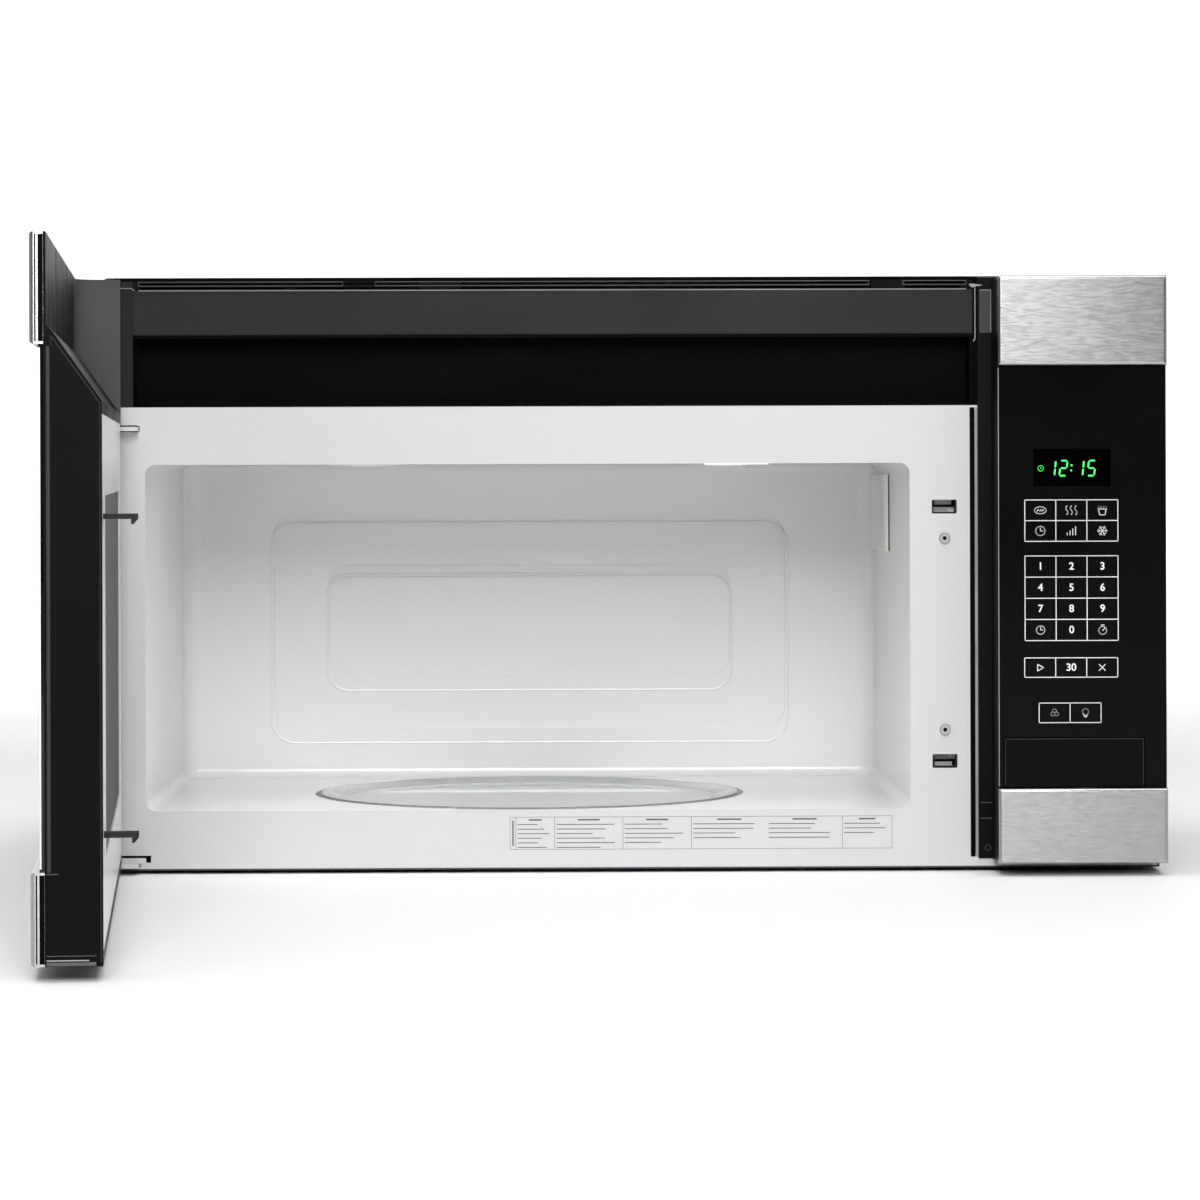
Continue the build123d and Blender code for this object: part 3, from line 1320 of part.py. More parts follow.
with BuildPart() as inner_window:
    sheet_x = (window_x[0] + fitted, window_x[1] - fitted)
    sheet_z = (window_z[0] + fitted, window_z[1] - fitted)
    cuboid(sheet_x, (cover_y[0], cover_y[0] + window_sheet), sheet_z)
save_on_door(inner_window, "inner_window")

with BuildPart() as door_key:
    key_z = (hook_levels[1] - key_overrun, hook_levels[0] + key_overrun)
    cuboid(key_x, key_y, key_z)
    for level in hook_levels:
        hook_span = about(hook_x, hook_width)
        shank_z = (level + hook_rise, level + hook_rise + hook_thickness)
        cuboid(hook_span, (key_y[1], hook_tip), shank_z)
        with BuildSketch(Plane.YZ.offset(hook_span[0])):
            with BuildLine():
                Polyline(
                    (nib_y[0], shank_z[0]),
                    (nib_y[0], level + nib_low),
                    (nib_y[0] + hook_nib / 2, level + nib_low),
                    (hook_tip, shank_z[0]),
                    close=True,
                )
            make_face()
        extrude(amount=hook_width)
save_on_door(door_key, "door_key")

# ---- Screws ------------------------------------------------------------------------------------

with BuildPart() as frame_screws:
    for level in latch_screw_levels:
        rod((hook_x, frame_y - screw_head / 2, level), screw_radius, screw_head, "Y")
        rod((hook_x, frame_y + screw_length / 2, level), screw_shank_radius, screw_length, "Y")
save(frame_screws, "frame_screws")

with BuildPart() as panel_screw:
    head_radius, head_length = panel_screw_head
    head_y = frame_y - flange_foot - head_length / 2
    rod((panel_screw_x, head_y, panel_screw_z), head_radius, head_length, "Y")
    shank_y = frame_y - flange_foot + panel_screw_length / 2
    rod((panel_screw_x, shank_y, panel_screw_z), panel_screw_shank, panel_screw_length, "Y")
save(panel_screw, "panel_screw")
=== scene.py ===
"""Blender scene of an over-the-range microwave: finishes, small details, light and camera.

Sizes and places of the pieces are in millimetres, those of camera and studio in metres.
"""
import json
import logging
import math
from dataclasses import dataclass, fields
from enum import Enum
from functools import partial
from itertools import product
from typing import Callable, ClassVar, Iterable

import bmesh
import bpy
from mathutils import Matrix, Vector


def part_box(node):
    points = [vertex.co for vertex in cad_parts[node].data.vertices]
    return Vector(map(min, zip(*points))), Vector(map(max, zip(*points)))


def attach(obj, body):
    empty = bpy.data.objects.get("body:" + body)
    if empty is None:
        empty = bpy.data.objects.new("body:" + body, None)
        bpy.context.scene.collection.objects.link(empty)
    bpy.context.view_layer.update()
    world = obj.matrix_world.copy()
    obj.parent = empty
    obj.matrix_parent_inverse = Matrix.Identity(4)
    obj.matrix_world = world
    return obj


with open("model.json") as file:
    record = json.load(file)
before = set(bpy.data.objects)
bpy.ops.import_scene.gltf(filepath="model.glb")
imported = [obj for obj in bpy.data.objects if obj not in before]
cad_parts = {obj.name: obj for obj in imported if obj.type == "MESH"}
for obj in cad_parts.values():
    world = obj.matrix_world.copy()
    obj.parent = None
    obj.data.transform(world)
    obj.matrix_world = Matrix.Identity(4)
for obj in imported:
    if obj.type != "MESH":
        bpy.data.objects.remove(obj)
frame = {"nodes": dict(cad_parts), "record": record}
LOG = logging.getLogger("microwave")
MM = 0.001
HINGE = (-372.5, -363.0, 0.0)
DOOR_ANGLE = 85.3

Colour = tuple[float, float, float]
Place = tuple[float, float, float]
Flat = tuple[float, float]
Bounds = tuple[float, float, float, float]
Socket = bpy.types.NodeSocket


class Run(Enum):
    """The axis that a grain or brushing runs along."""

    ACROSS = 0
    DEPTH = 1
    UPRIGHT = 2


class Graph:
    """A material's node tree, with short calls for the nodes that the finishes share."""

    def __init__(self, name: str, **constants: float | Colour) -> None:
        """Start a material with one principled shader.

        Args:
            name: the material's name.
            constants: values that are the same all over, by socket name.
        """
        self.material = bpy.data.materials.new(name)
        self.material.use_nodes = True
        self.tree = self.material.node_tree
        self.shader = self.tree.nodes["Principled BSDF"]
        for socket, value in constants.items():
            if isinstance(value, tuple) and len(value) == 3:
                value = (*value, 1)
            self.shader.inputs[socket.replace("_", " ")].default_value = value
        self.place = self.add("TexCoord").outputs["Object"]

    def add(self, kind: str, feeds: dict | None = None, **settings: object) -> bpy.types.Node:
        """Add one node.

        Args:
            kind: the node's type, without its common prefix.
            feeds: what each input gets, a value or another node's output.
            settings: properties of the node itself.

        Returns:
            The new node.
        """
        made = self.tree.nodes.new("ShaderNode" + kind)
        for name, value in settings.items():
            setattr(made, name, value)
        for name, value in (feeds or {}).items():
            if isinstance(value, Socket):
                self.tree.links.new(value, made.inputs[name])
            else:
                made.inputs[name].default_value = value
        return made

    def stretched(self, run: Run, ratio: float) -> Socket:
        """Draw the pattern's coordinates out along one axis.

        Args:
            run: the axis that the pattern is long in.
            ratio: how many times longer it is there.

        Returns:
            The stretched coordinates.
        """
        scale = [1.0, 1.0, 1.0]
        scale[run.value] = 1 / ratio
        return self.add("Mapping", {"Vector": self.place, "Scale": scale}).outputs["Vector"]

    def noise(self, scale: float, detail: float = 3, where: Socket | None = None) -> Socket:
        """Add soft noise.

        Args:
            scale: lumps per metre.
            detail: octaves of finer noise.
            where: coordinates, the object's own unless given.

        Returns:
            The noise, from 0 to 1.
        """
        feeds = {"Vector": where or self.place, "Scale": scale, "Detail": detail}
        return self.add("TexNoise", feeds).outputs["Fac"]

    def between(self, factor: Socket, low: float, high: float, span: Flat = (0.3, 0.7)) -> Socket:
        """Spread a factor over a range of values.

        Args:
            factor: what is spread.
            low: value at the start of the span.
            high: value at its end.
            span: the factor's own range that is used.

        Returns:
            The spread value.
        """
        feeds = {"Value": factor, "From Min": span[0], "From Max": span[1], "To Min": low, "To Max": high}
        return self.add("MapRange", feeds).outputs["Result"]

    def tint(self, factor: Socket, stops: list[tuple[float, Colour]]) -> Socket:
        """Turn a factor into colours and give them to the shader.

        Args:
            factor: where on the ramp each point is.
            stops: positions and colours.

        Returns:
            The ramp's colour.
        """
        node = self.add("ValToRGB", {"Fac": factor})
        ramp = node.color_ramp
        while len(ramp.elements) < len(stops):
            ramp.elements.new(1)
        for element, (position, colour) in zip(ramp.elements, stops):
            element.position = position
            element.color = (*colour, 1)
        self.give("Base Color", node.outputs["Color"])
        return node.outputs["Color"]

    def tones(self, factor: Socket, colour: Colour, tone: Flat, span: Flat = (0.3, 0.7)) -> Socket:
        """Vary a colour's brightness with a factor.

        Args:
            factor: what it varies with.
            colour: the middle colour.
            tone: lowest and highest brightness, as shares of the colour.
            span: the factor's own range that is used.

        Returns:
            The varied colour.
        """
        return self.tint(factor, [(stop, shade(colour, share)) for stop, share in zip(span, tone)])

    def zoned_tone(self, plain: Socket, flow: Socket, zone: "Zone") -> None:
        """Give the surface another tone in one stretch.

        Args:
            plain: the colour outside it.
            flow: the noise that varies the tone.
            zone: the stretch and its tone.
        """
        parts = self.add("SeparateXYZ", {"Vector": self.place})
        inside = self.between(parts.outputs[zone.axis.value], 0, 1, (zone.start * MM, zone.full * MM))
        tone = self.tones(flow, zone.colour, zone.tone)
        mixed = self.add("MixRGB", {"Fac": inside, "Color1": plain, "Color2": tone})
        self.give("Base Color", mixed.outputs["Color"])

    def give(self, socket: str, value: Socket) -> None:
        """Feed one of the shader's sockets."""
        self.tree.links.new(value, self.shader.inputs[socket])

    def bump(self, height: Socket, depth: float, strength: float = 1.0) -> None:
        """Raise the surface by a height.

        Args:
            height: the pattern, from 0 to 1.
            depth: how high 1 stands.
            strength: how much of it shows.
        """
        feeds = {"Height": height, "Distance": depth * MM, "Strength": strength}
        self.give("Normal", self.add("Bump", feeds).outputs["Normal"])


def shade(colour: Colour, factor: float) -> Colour:
    """Lighten or darken a colour."""
    return tuple(min(1.0, part * factor) for part in colour)


def grey(value: float) -> Colour:
    """Give a neutral colour."""
    return value, value, value


@dataclass(frozen=True)
class Finish:
    """What every finish has.

    Attributes:
        name: the material's name.
        colour: its main colour.
        roughness: lowest and highest roughness.
        tone: lowest and highest brightness, as shares of the colour.
        span: the part of a pattern's range that the tones spread over.
    """

    name: str
    colour: Colour
    roughness: Flat = (0.36, 0.52)
    tone: ClassVar[Flat] = (0.86, 1.12)
    span: ClassVar[Flat] = (0.3, 0.7)

    def coloured(self, graph: Graph, factor: Socket) -> Socket:
        """Vary the colour with a factor."""
        return graph.tones(factor, self.colour, self.tone, self.span)

    def build(self) -> bpy.types.Material:
        """Make the material."""
        raise NotImplementedError


@dataclass(frozen=True)
class Brushed(Finish):
    """Brushed metal sheet.

    Attributes:
        run: the way it is brushed.
        streak: streaks per metre across the brushing.
        ratio: how many times longer a streak is than wide.
        depth: depth of the scratches.
    """

    roughness: Flat = (0.19, 0.25)
    run: Run = Run.ACROSS
    streak: float = 1300
    ratio: ClassVar[float] = 9
    depth: ClassVar[float] = 0.003
    tone: ClassVar[Flat] = (0.88, 1.08)
    span: ClassVar[Flat] = (0.36, 0.64)

    def build(self) -> bpy.types.Material:
        """Make the material: short scratches whose shine spreads across them.

        Returns:
            The material.
        """
        turned = 0.25 if self.run is Run.ACROSS else 0.0
        graph = Graph(self.name, Metallic=1.0, Anisotropic=0.9, Anisotropic_Rotation=turned)
        fine = graph.noise(self.streak, 4, graph.stretched(self.run, self.ratio))
        self.coloured(graph, fine)
        graph.give("Roughness", graph.between(fine, *self.roughness))
        graph.bump(fine, self.depth)
        return graph.material


@dataclass(frozen=True)
class Enamel(Finish):
    """Baked enamel on pressed sheet, with a little orange peel.

    Attributes:
        peel: waves of the orange peel, per metre.
        depth: its depth.
    """

    roughness: Flat = (0.28, 0.288)
    peel: ClassVar[float] = 420
    depth: ClassVar[float] = 0.0006
    tone: ClassVar[Flat] = (0.995, 1.004)
    span: ClassVar[Flat] = (0.2, 0.8)

    def build(self) -> bpy.types.Material:
        """Make the material: a wavy surface under a clear coat.

        Returns:
            The material.
        """
        graph = Graph(self.name, Coat_Weight=0.25, Coat_Roughness=0.2)
        peel = graph.noise(self.peel, 2)
        self.coloured(graph, peel)
        graph.give("Roughness", graph.between(peel, *self.roughness))
        graph.bump(peel, self.depth, 0.6)
        return graph.material


@dataclass(frozen=True)
class TexturedPaint(Finish):
    """Powder paint with a fine wrinkle.

    Attributes:
        grain: grains per metre.
        cloud: handling marks per metre.
        depth: height of the grain.
    """

    roughness: Flat = (0.48, 0.56)
    grain: ClassVar[float] = 1500
    cloud: ClassVar[float] = 12
    depth: ClassVar[float] = 0.03
    tone: ClassVar[Flat] = (0.93, 1.08)

    def build(self) -> bpy.types.Material:
        """Make the material: small cells for the wrinkle, a soft cloud for handling marks.

        Returns:
            The material.
        """
        graph = Graph(self.name)
        cells = graph.add("TexVoronoi", {"Vector": graph.place, "Scale": self.grain}).outputs["Distance"]
        cloud = graph.noise(self.cloud, 4)
        self.coloured(graph, cloud)
        graph.give("Roughness", graph.between(cloud, *self.roughness))
        graph.bump(cells, self.depth, 0.5)
        return graph.material


@dataclass(frozen=True)
class Zone:
    """A stretch along one axis where a moulding takes another tone: a painted sheen on the door's upper end
    wall, the post at the vent duct's left end, black above the grille's brow.

    Attributes:
        axis: the axis it is measured along.
        start: where the grain starts.
        full: where it is complete.
        colour: the stretch's colour.
        tone: lowest and highest brightness, as shares of the colour.
    """

    axis: Run
    start: float
    full: float
    colour: Colour
    tone: ClassVar[Flat] = (0.94, 1.06)


@dataclass(frozen=True)
class Moulded(Finish):
    """Injection-moulded plastic.

    Attributes:
        grain: spark-eroded grains per metre.
        depth: depth of the grain.
        coat: clear gloss over it.
        glow: how far light passes under the surface, 0 for none.
        sheen: strength of its highlights.
        zone: where it takes another tone, if it has one.
        flow: flow marks per metre.
    """

    grain: float = 2400
    depth: float = 0.015
    coat: float = 0.0
    glow: float = 0.0
    sheen: float = 0.4
    zone: Zone | None = None
    flow: ClassVar[float] = 22

    def build(self) -> bpy.types.Material:
        """Make the material: moulded grain and slow flow marks.

        Returns:
            The material.
        """
        gloss = {"Coat_Weight": self.coat, "Coat_Roughness": 0.08, "Specular_IOR_Level": self.sheen}
        graph = Graph(self.name, Subsurface_Weight=self.glow, **gloss)
        flow = graph.noise(self.flow, 3, graph.stretched(Run.ACROSS, 2.5))
        plain = self.coloured(graph, flow)
        if self.zone:
            graph.zoned_tone(plain, flow, self.zone)
        graph.give("Roughness", graph.between(flow, *self.roughness))
        graph.bump(graph.noise(self.grain, 2), self.depth, 0.4)
        return graph.material


@dataclass(frozen=True)
class Spangled(Finish):
    """Zinc-coated steel with its crystal spangle.

    Attributes:
        crystal: crystals per metre.
        pitting: pits per metre.
    """

    roughness: Flat = (0.3, 0.52)
    crystal: float = 90
    pitting: ClassVar[float] = 500
    tone: ClassVar[Flat] = (0.8, 1.12)
    span: ClassVar[Flat] = (0.0, 1.0)

    def build(self) -> bpy.types.Material:
        """Make the material: flat crystals, each with its own tone and gloss.

        Returns:
            The material.
        """
        graph = Graph(self.name, Metallic=1.0)
        crystals = graph.add("TexVoronoi", {"Vector": graph.place, "Scale": self.crystal})
        tone = graph.add("SeparateColor", {"Color": crystals.outputs["Color"]}).outputs["Red"]
        self.coloured(graph, tone)
        graph.give("Roughness", graph.between(tone, *self.roughness, self.span))
        graph.bump(graph.noise(self.pitting, 3), 0.01, 0.5)
        return graph.material


@dataclass(frozen=True)
class Glazing(Finish):
    """Clear or smoked glass.

    Attributes:
        clear: how much light passes, from 0 to 1.
        wave: waves per metre in its surface.
        depth: their depth.
        sheen: strength of its highlights.
        bend: how strongly it bends light.
        smear: smears per metre.
        dull: the part of the smears' range that dulls the gloss.
    """

    roughness: Flat = (0.01, 0.06)
    clear: float = 0.0
    wave: float = 30
    depth: float = 0.03
    sheen: float = 0.5
    bend: float = 1.5
    smear: ClassVar[float] = 18
    dull: ClassVar[Flat] = (0.4, 0.75)
    tone: ClassVar[Flat] = (0.97, 1.02)
    span: ClassVar[Flat] = (0.2, 0.8)

    def build(self) -> bpy.types.Material:
        """Make the material: slow waves, thin smears that dull the gloss.

        Returns:
            The material.
        """
        graph = Graph(self.name, Transmission_Weight=self.clear, IOR=self.bend, Specular_IOR_Level=self.sheen)
        smear = graph.noise(self.smear, 5)
        self.coloured(graph, smear)
        graph.give("Roughness", graph.between(smear, *self.roughness, self.dull))
        graph.bump(graph.noise(self.wave, 1), self.depth, 0.5)
        return graph.material


@dataclass(frozen=True)
class Layered(Finish):
    """Thin metal layers or turns lying side by side, such as laminations or wire.

    Attributes:
        dark: colour between the layers.
        axis: the axis that the layers are stacked along.
        pitch: layer spacing.
        wave: layers in one wave of the pattern.
        depth: depth of the gaps.
    """

    roughness: Flat = (0.28, 0.5)
    dark: Colour = (0.0, 0.0, 0.0)
    axis: Run = Run.ACROSS
    pitch: float = 1.0
    wave: ClassVar[float] = 3.2
    depth: ClassVar[float] = 0.15

    def build(self) -> bpy.types.Material:
        """Make the material: bands across the stack, with a little unevenness.

        Returns:
            The material.
        """
        graph = Graph(self.name, Metallic=1.0)
        scale = 1 / (self.pitch * MM * self.wave)
        feeds = {"Vector": graph.place, "Scale": scale, "Distortion": 0.6, "Detail": 1.0}
        turns = graph.add("TexWave", feeds, bands_direction="XYZ"[self.axis.value]).outputs["Fac"]
        graph.tint(turns, [(0.1, self.dark), (0.6, self.colour)])
        graph.give("Roughness", graph.between(graph.noise(60, 3), *self.roughness))
        graph.bump(turns, self.depth)
        return graph.material


@dataclass(frozen=True)
class Granular(Finish):
    """A bed of granules or woven mesh cells.

    Attributes:
        dark: colour in the gaps.
        cell: cells per metre.
        stretch: how much longer a cell is across than high.
        metallic: metal share.
        depth: height of the grains.
        edge: the part of a cell's range where it falls to the gap.
    """

    roughness: Flat = (0.4, 0.8)
    dark: Colour = (0.0, 0.0, 0.0)
    cell: float = 380
    stretch: float = 1.0
    metallic: float = 0.0
    depth: float = 0.4
    edge: ClassVar[Flat] = (0, 0.4)

    def build(self) -> bpy.types.Material:
        """Make the material: cells that rise from dark gaps.

        Returns:
            The material.
        """
        graph = Graph(self.name, Metallic=self.metallic)
        feeds = {"Vector": graph.stretched(Run.ACROSS, self.stretch), "Scale": self.cell, "Randomness": 0.55}
        cells = graph.add("TexVoronoi", feeds, feature="DISTANCE_TO_EDGE").outputs["Distance"]
        graph.tint(cells, [(0.0, self.colour), (0.12, self.colour), (0.3, self.dark)])
        graph.give("Roughness", graph.between(cells, *self.roughness, self.edge))
        graph.bump(graph.between(cells, 1, 0, self.edge), self.depth)
        return graph.material


@dataclass(frozen=True)
class Glowing(Finish):
    """A lit surface.

    Attributes:
        strength: its brightness.
        cloud: uneven spots per metre.
    """

    roughness: Flat = (0.4, 0.4)
    strength: float = 1.0
    cloud: ClassVar[float] = 900
    tone: ClassVar[Flat] = (0.85, 1.1)

    def build(self) -> bpy.types.Material:
        """Make the material: light a little uneven over the surface.

        Returns:
            The material.
        """
        graph = Graph(self.name, Emission_Strength=self.strength, Roughness=self.roughness[0])
        graph.give("Emission Color", self.coloured(graph, graph.noise(self.cloud, 2)))
        return graph.material


BLACK = (0.003, 0.003, 0.0031)
INK = (0.004, 0.004, 0.0044)
FINISHES = {
    "case_black": TexturedPaint("fine textured black paint", (0.03, 0.031, 0.033)),
    "zinc_steel": Spangled("zinc coated sheet", (0.62, 0.63, 0.64)),
    "rubber_black": Moulded("moulded rubber", grey(0.028), (0.6, 0.8), 900, 0.04),
    "frame_enamel": Enamel("white frame enamel", (0.63, 0.632, 0.634)),
    "oven_enamel": Enamel("pale grey oven enamel", (0.83, 0.833, 0.832), (0.26, 0.27)),
    "guide_mica": Moulded("pressed mica board", (0.8, 0.79, 0.76), (0.4, 0.6), 160, 0.05),
    "motor_steel": Spangled("zinc coated motor can", (0.45, 0.46, 0.47), crystal=220),
    "black_plastic": Moulded("moulded black plastic", (0.004, 0.004, 0.0042), sheen=0.08),
    "vent_grey": Moulded(
        "charcoal vent plastic", (0.021, 0.021, 0.022), (0.42, 0.56), 1900, 0.02, sheen=0.25
    ),
    "carbon": Granular("charcoal granules", grey(0.05), dark=grey(0.006)),
    "fin_aluminium": Brushed("stamped aluminium fins", (0.76, 0.77, 0.78), (0.3, 0.42)),
    "core_steel": Layered("varnished laminations", (0.2, 0.18, 0.16), dark=(0.05, 0.045, 0.04)),
    "winding_copper": Layered(
        "enamelled copper wire", (0.62, 0.28, 0.12), dark=(0.2, 0.07, 0.03), axis=Run.UPRIGHT, pitch=1.2
    ),
    "can_aluminium": Brushed("drawn aluminium can", (0.72, 0.73, 0.74), (0.22, 0.34), Run.UPRIGHT),
    "lamp_white": Moulded("white lamp ceramic", (0.82, 0.82, 0.79), (0.2, 0.35), 500, 0.01, 0.3),
    "gloss_black": Moulded("polished black overlay", INK, (0.1, 0.16), 120, 0.006, sheen=0.04),
    "display_glass": Moulded("smoked display window", grey(0.0006), (0.06, 0.1), 60, 0.004, sheen=0.03),
    "board_green": Granular(
        "green circuit board", (0.05, 0.28, 0.12), dark=(0.02, 0.16, 0.07), cell=160, depth=0.05
    ),
    "stainless": Brushed("brushed stainless steel", (0.453, 0.45, 0.452)),
    "latch_plastic": Moulded(
        "glass filled latch plastic", (0.015, 0.015, 0.016), (0.5, 0.66), 1200, 0.03, sheen=0.2
    ),
    "switch_red": Moulded("red switch case", (0.32, 0.05, 0.04), (0.3, 0.45)),
    "screw_black": Brushed("black oxide screw", (0.05, 0.05, 0.052), (0.3, 0.45), Run.UPRIGHT, 1200),
    "screw_steel": Brushed("plated screw steel", (0.66, 0.66, 0.67), (0.2, 0.34), Run.UPRIGHT, 1200),
    "black_glass": Glazing("black backed glass", INK, sheen=0.28),
    "window_glass": Glazing("smoked inner window", (0.006, 0.006, 0.007), clear=0.3, sheen=0.0),
    "white_plastic": Moulded(
        "white moulded plastic", (0.84, 0.84, 0.82), (0.34, 0.48), 1600, 0.012, glow=0.1
    ),
    "tray_glass": Glazing("clear pressed glass", (0.9, 0.92, 0.915), (0.02, 0.05), 0.8, 45, 0.06, bend=1.22),
    "fan_plastic": Moulded("grey fan plastic", (0.3, 0.31, 0.32), (0.35, 0.5)),
    "filter_mesh": Granular(
        "layered grease filter mesh", (0.72, 0.73, 0.74), dark=grey(0.1), cell=260, stretch=2.0, metallic=1.0,
        depth=0.5,
    ),
    "lamp_lens": Glazing("frosted lamp lens", (0.88, 0.9, 0.88), (0.35, 0.5), 0.75, 300, 0.2),
    "button_black": Moulded("satin black button", INK, (0.16, 0.24), 900, 0.004, sheen=0.04),
}
NODE_FINISHES = {
    # painted sheen: the grey zone on the door's upper end wall stands for lit sheen on its black moulding
    "door_body": Moulded(
        "moulded door shell", BLACK, sheen=0.06, zone=Zone(Run.DEPTH, -440, -400, grey(0.08))
    ),
    # painted shade: the duct's black plastic is pushed to near black for the deep shade in its recess; the
    # grey zone is the post at its left end
    "vent_duct": Moulded(
        "moulded vent duct", grey(0.001), sheen=0.03, zone=Zone(Run.ACROSS, -358, -359, grey(0.024))
    ),
    "vent_grille": Moulded(
        "moulded vent grille", (0.03, 0.03, 0.031), (0.5, 0.6), 1900, 0.02, sheen=0.06,
        zone=Zone(Run.UPRIGHT, 203.3, 203.6, BLACK),
    ),
    "panel_bezel": Moulded("moulded panel bezel", (0.0045, 0.0045, 0.0046), sheen=0.06),
    "hinge_upper": Enamel("white hinge enamel", grey(0.66)),
    "hinge_lower": Enamel("white hinge enamel below", grey(0.66)),
    "frame_screws": Enamel("plated screw head", grey(0.44)),
    "release_slider": Moulded("grey latch slider", grey(0.5), (0.34, 0.48), 1600, 0.012),
    "choke_cover": Enamel("white choke cover", grey(0.68)),
}
EXTRA_FINISHES = {
    "legend": Moulded("white legend ink", grey(0.85), (0.4, 0.5), 900, 0.004),
    "grey legend": Moulded("grey legend ink", grey(0.1), (0.5, 0.6), 900, 0.004),
    "clock": Glowing("green display light", (0.03, 0.8, 0.14), strength=0.75),
    # painted shade: near-black for pieces laid in gaps, grooves, slots, folds and screw recesses where shade
    # falls
    "painted shade": Moulded("shadowed recess", grey(0.002), (0.6, 0.8), sheen=0.03),
    # painted highlight: lighter grey for beads and strips along edges where light catches
    "painted highlight": Moulded("painted edge highlight", grey(0.3), (0.3, 0.4), 900, 0.004),
    # painted highlight, dimmer: lips, a foot and lines that catch some light
    "painted dim highlight": Moulded("painted dim edge highlight", grey(0.09), (0.3, 0.4), 900, 0.004),
    # painted highlight, faint: creases and a rim that barely catch the light
    "painted faint highlight": Moulded("painted faint edge highlight", grey(0.018), (0.3, 0.4), 900, 0.004),
    "pale part": Moulded("pale latch plastic", (0.8, 0.8, 0.79), (0.35, 0.5), 1600, 0.01),
    # painted highlight: the near-white line along the door glass's edge
    "painted rim highlight": Enamel("painted glass rim highlight", grey(0.92)),
    "pad grey": Moulded("grey pad plastic", grey(0.045), (0.4, 0.5), 1900, 0.01, sheen=0.2),
    "lamp light": Glowing("oven lamp light", (1.0, 0.98, 0.94), strength=0.9),
}


class Palette:
    """Every material, made once and handed out by slot or extra name."""

    def __init__(self) -> None:
        """Build all the materials."""
        every = {**FINISHES, **NODE_FINISHES, **EXTRA_FINISHES}
        self.materials = {name: finish.build() for name, finish in every.items()}

    def __getitem__(self, name: str) -> bpy.types.Material:
        """Give one material."""
        return self.materials[name]

    def dress_nodes(self) -> None:
        """Give every CAD node its material."""
        for subpart in frame["record"]["subparts"]:
            name, slot = subpart["node"], subpart["material_slot"]
            finish = self[name if name in NODE_FINISHES else slot]
            node = frame["nodes"][name]
            if not node.material_slots:
                node.data.materials.append(finish)
            for place in node.material_slots:
                place.material = finish
            LOG.info("%s dressed in %s", name, finish.name)


class Side(Enum):
    """The way that a trimmed face looks."""

    FRONT = (0.0, -1.0, 0.0)
    END = (1.0, 0.0, 0.0)
    BELOW = (0.0, 0.0, -1.0)

    def spot(self, face: float, point: Flat) -> Vector:
        """Put a point that is drawn on the face into space.

        Args:
            face: where the face lies along its own axis.
            point: the point's other two coordinates.

        Returns:
            The point.
        """
        spot = list(point)
        spot.insert([abs(part) for part in self.value].index(1.0), face)
        return Vector(spot)


@dataclass(frozen=True)
class Bead:
    """A low rounded bead along straight stretches of a face.

    Attributes:
        path: its corners, in the face's own two coordinates.
        width: how wide it is.
        height: how far it stands proud.
        lift: how far its foot stands before the face.
        flank: where its flanks turn, as shares of half its width and of its height.
    """

    path: tuple[Flat, ...]
    width: float
    height: float
    lift: float = 0.0
    flank: ClassVar[Flat] = (0.7, 0.8)


@dataclass(frozen=True)
class Plate:
    """An outline raised from a face.

    Attributes:
        outline: its corners, in the face's own two coordinates.
        height: how thick it is.
        lift: how far its back stands before the face.
    """

    outline: tuple[Flat, ...]
    height: float
    lift: float = 0.0


@dataclass(frozen=True)
class Fitting:
    """One piece of trim and everything that it is made of.

    Attributes:
        name: the piece's name.
        finish: its finish in the palette.
        slot: the record's slot that the finish stands for; nothing reads it.
        face: where its face lies along its own axis.
        beads: beads on the face.
        plates: plates on the face, if it is the front.
        slabs: low and high corner of each block.
        side: the way that the face looks.
        body: the CAD body that carries the piece.
        bevel: width of its edge rounding.
    """

    name: str
    finish: str
    slot: str
    face: float = 0.0
    beads: tuple[Bead, ...] = ()
    plates: tuple[Plate, ...] = ()
    slabs: tuple[tuple[Place, Place], ...] = ()
    side: Side = Side.FRONT
    body: str = "case"
    bevel: float = 0.0


